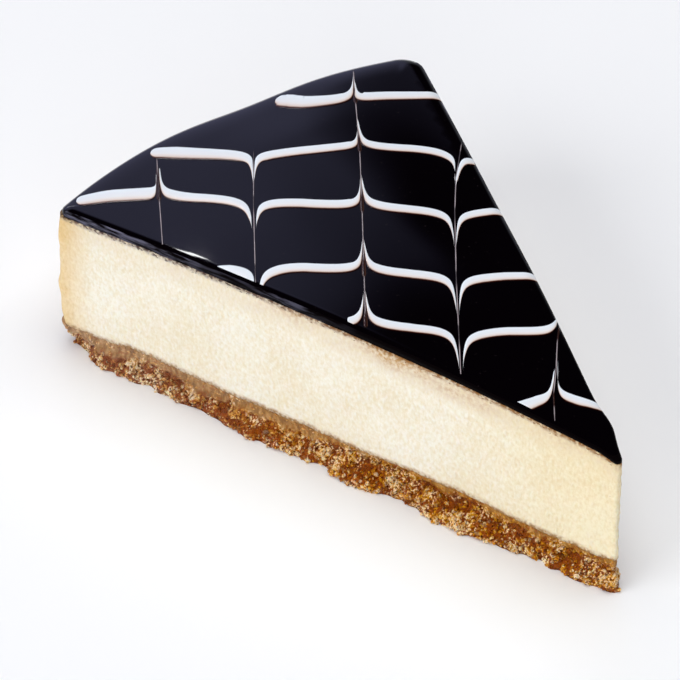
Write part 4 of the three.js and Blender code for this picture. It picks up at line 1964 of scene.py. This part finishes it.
    def _trim(self, mesh: bpy.types.Mesh) -> None:
        """Cuts a mesh off along both cut faces of the glaze, closes it, and moves it out with the
        glaze's bulge beside the tip.

        Args:
            mesh: the mesh of a piece.
        """
        plan = self.glaze.heights.plan
        half = math.radians(plan.half_angle)
        work = bmesh.new()
        work.from_mesh(mesh)
        middle = Vector((*plan.centre, 0)) * MM
        for hand, bare in ((1, 0.02), (-1, self.shoulder)):
            outward = Vector((hand * math.cos(half), -math.sin(half), 0))
            place = middle - outward * (self.glaze.cut_inset + bare) * MM
            parts = [*work.verts, *work.edges, *work.faces]
            cut = bmesh.ops.bisect_plane(
                work, geom=parts, plane_co=place, plane_no=outward, clear_outer=True, dist=1e-8)
            edges = [e for e in cut["geom_cut"] if isinstance(e, bmesh.types.BMEdge)]
            bmesh.ops.holes_fill(work, edges=edges, sides=0)
        bmesh.ops.recalc_face_normals(work, faces=work.faces)
        rightward = Vector((math.cos(half), -math.sin(half), 0)) * MM
        places = np.array([vertex.co[:2] for vertex in work.verts]) / MM
        shoulder = self.glaze.cut_shoulders[0]
        on_shoulder = smooth(plan.inside_cuts(places), shoulder + self.glaze.pitch, shoulder)
        out = self.glaze.bulge(places) * on_shoulder * (places[:, 0] > plan.centre[0])
        for vertex, push in zip(work.verts, out):
            vertex.co += rightward * push
        work.to_mesh(mesh)
        work.free()
        mesh.shade_smooth()


# ---- Studio ----


@dataclass(frozen=True)
class Softbox:
    """A rectangular light that faces the slice.

    Attributes:
        name: its name.
        place: its middle, from the middle of the slice's footprint.
        size: its width and height.
        power: in watts.
        tint: hex colour.
        roll: turn about its own direction, in degrees.
        mirrored: whether it is there for glossy surfaces to mirror, and lights nothing.
    """

    name: str
    place: tuple[float, float, float]
    size: tuple[float, float]
    power: float
    tint: str = "#ffffff"
    roll: float = 0.0
    mirrored: bool = False

    def build(self) -> None:
        """Adds the light to the scene."""
        data = bpy.data.lights.new(self.name, "AREA")
        data.shape = "RECTANGLE"
        data.size, data.size_y = self.size[0] * MM, self.size[1] * MM
        data.energy = self.power
        data.color = colour(self.tint)[:3]
        lamp = linked(self.name, data)
        lamp.location = Vector(self.place) * MM
        turn = (-lamp.location).to_track_quat("-Z", "Y") @ Quaternion((0, 0, 1), math.radians(self.roll))
        lamp.rotation_euler = turn.to_euler()
        lamp.visible_glossy = self.mirrored
        lamp.visible_diffuse = not self.mirrored


@dataclass
class Studio:
    """The floor, the light and the camera.

    Attributes:
        plan: the slice's plan.
        aim: the floor point in the middle of the picture, from the cake's middle.
        azimuth: direction of view, from +Y towards +X, in degrees.
        elevation: angle of view down, in degrees.
        distance: from the camera to the aim.
        lens: focal length.
        panel_edge: direction of the panel's right edge, from +Y towards +X, in degrees.
        floor_side: half the floor's width.
        lamps: the softboxes.
    """

    plan: WedgePlan
    aim: tuple[float, float] = (1.1, 90.2)
    azimuth: float = 36.27
    elevation: float = 39.85
    distance: float = 995.7
    lens: float = 264.7
    panel_edge: float = 35.0
    floor_side: float = 3000.0
    lamps: tuple[Softbox, ...] = (
        Softbox("left_softbox", (-2800, 450, 1750), (2770, 1880), 58.0),
        Softbox("front_softbox", (-1250, -1400, 800), (1300, 900), 9.5),
        Softbox("overhead_softbox", (400, 150, 2320), (2640, 2640), 54.0),
        Softbox("strip_light", (153, 392, 428), (161, 10), 0.09, roll=49.0, mirrored=True),
    )

    def build(self) -> None:
        """Sets up the whole studio."""
        self._floor()
        self._camera()
        self._world()
        for lamp in self.lamps:
            lamp.build()
        scene = bpy.context.scene
        scene.view_settings.view_transform = "Standard"
        scene.view_settings.look = "None"

    def _floor(self) -> None:
        """A wide pale floor under the slice."""
        corners = np.array([(-1, -1, 0), (1, -1, 0), (1, 1, 0), (-1, 1, 0)]) * self.floor_side
        floor = mesh_piece("studio_floor", corners, [(0, 1, 2, 3)])
        floor.data.materials.append(PaleTable().material())

    def _camera(self) -> None:
        """A long lens at the photograph's angle."""
        turn, tilt = math.radians(self.azimuth), math.radians(self.elevation)
        level = math.cos(tilt)
        forward = Vector((math.sin(turn) * level, math.cos(turn) * level, -math.sin(tilt)))
        aim = Vector((self.plan.centre[0] + self.aim[0], self.plan.centre[1] + self.aim[1], 0)) * MM
        data = bpy.data.cameras.new("camera")
        data.lens = self.lens
        data.sensor_width = 36.0
        data.clip_start = 0.05
        camera = linked("camera", data)
        camera.location = aim - forward * self.distance * MM
        camera.rotation_euler = forward.to_track_quat("-Z", "Y").to_euler()
        bpy.context.scene.camera = camera

    def _world(self) -> None:
        """Dark air with a soft pale panel behind on the left, which the glaze mirrors."""
        world = bpy.data.worlds.new("studio_air")
        world.use_nodes = True
        world.node_tree.nodes.clear()
        turn = math.radians(self.panel_edge)
        steps: Sequence[Step] = (
            ("toward", "TexCoord", {}, {}),
            ("axes", "SeparateXYZ", {}, {"Vector": "toward.Generated"}),
            ("leftward", "VectorMath", {"operation": "DOT_PRODUCT"},
             {0: "toward.Generated", 1: (-math.cos(turn), math.sin(turn), 0)}),
            ("right_edge", "MapRange", EASED, {"Value": "leftward.Value", "range": (-0.07, 0.05)}),
            ("left_edge", "MapRange", EASED, {"Value": "leftward.Value", "range": (0.85, 0.5)}),
            ("top_edge", "MapRange", EASED, {"Value": "axes.Z", "range": (0.8, 0.62)}),
            ("behind", "MapRange", EASED, {"Value": "axes.Y", "range": (0.0, 0.3)}),
            ("wide", "Math", TIMES, {0: "right_edge.Result", 1: "left_edge.Result"}),
            ("high", "Math", TIMES, {0: "top_edge.Result", 1: "behind.Result"}),
            ("panel", "Math", TIMES, {0: "wide.Value", 1: "high.Value"}),
            ("low", "MapRange", EASED, {"Value": "axes.Z", "range": (0.35, 0.0)}),
            ("air", "Mix", COLOURS, {0: "low.Result", 6: "#0e0d11", 7: "#8c9098"}),
            ("seen", "Mix", COLOURS, {0: "panel.Value", 6: "air.2", 7: "#9a9cc3"}),
            ("glow", "Background", {}, {"Color": "seen.2", "Strength": 1.0}),
            ("world", "OutputWorld", {}, {"Surface": "glow.Background"}),
        )
        for step in steps:
            add_node(world.node_tree, *step)
        bpy.context.scene.world = world


# ---- The slice ----


def main() -> None:
    """Builds the slice and its studio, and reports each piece."""
    logging.basicConfig(level=logging.INFO, format="%(message)s")
    plan = WedgePlan.from_frame(CheeseFilling.skin_bulge)
    Studio(plan).build()
    heights = LayerHeights(plan)
    glaze = ChocolateGlaze(heights)
    for layer in (CrumbBase(heights), CheeseFilling(heights), glaze, FeatheredIcing(glaze)):
        for piece in layer.build():
            LOG.info("%s: %d faces", piece.name, len(piece.data.polygons))


if __name__ == "__main__":
    main()
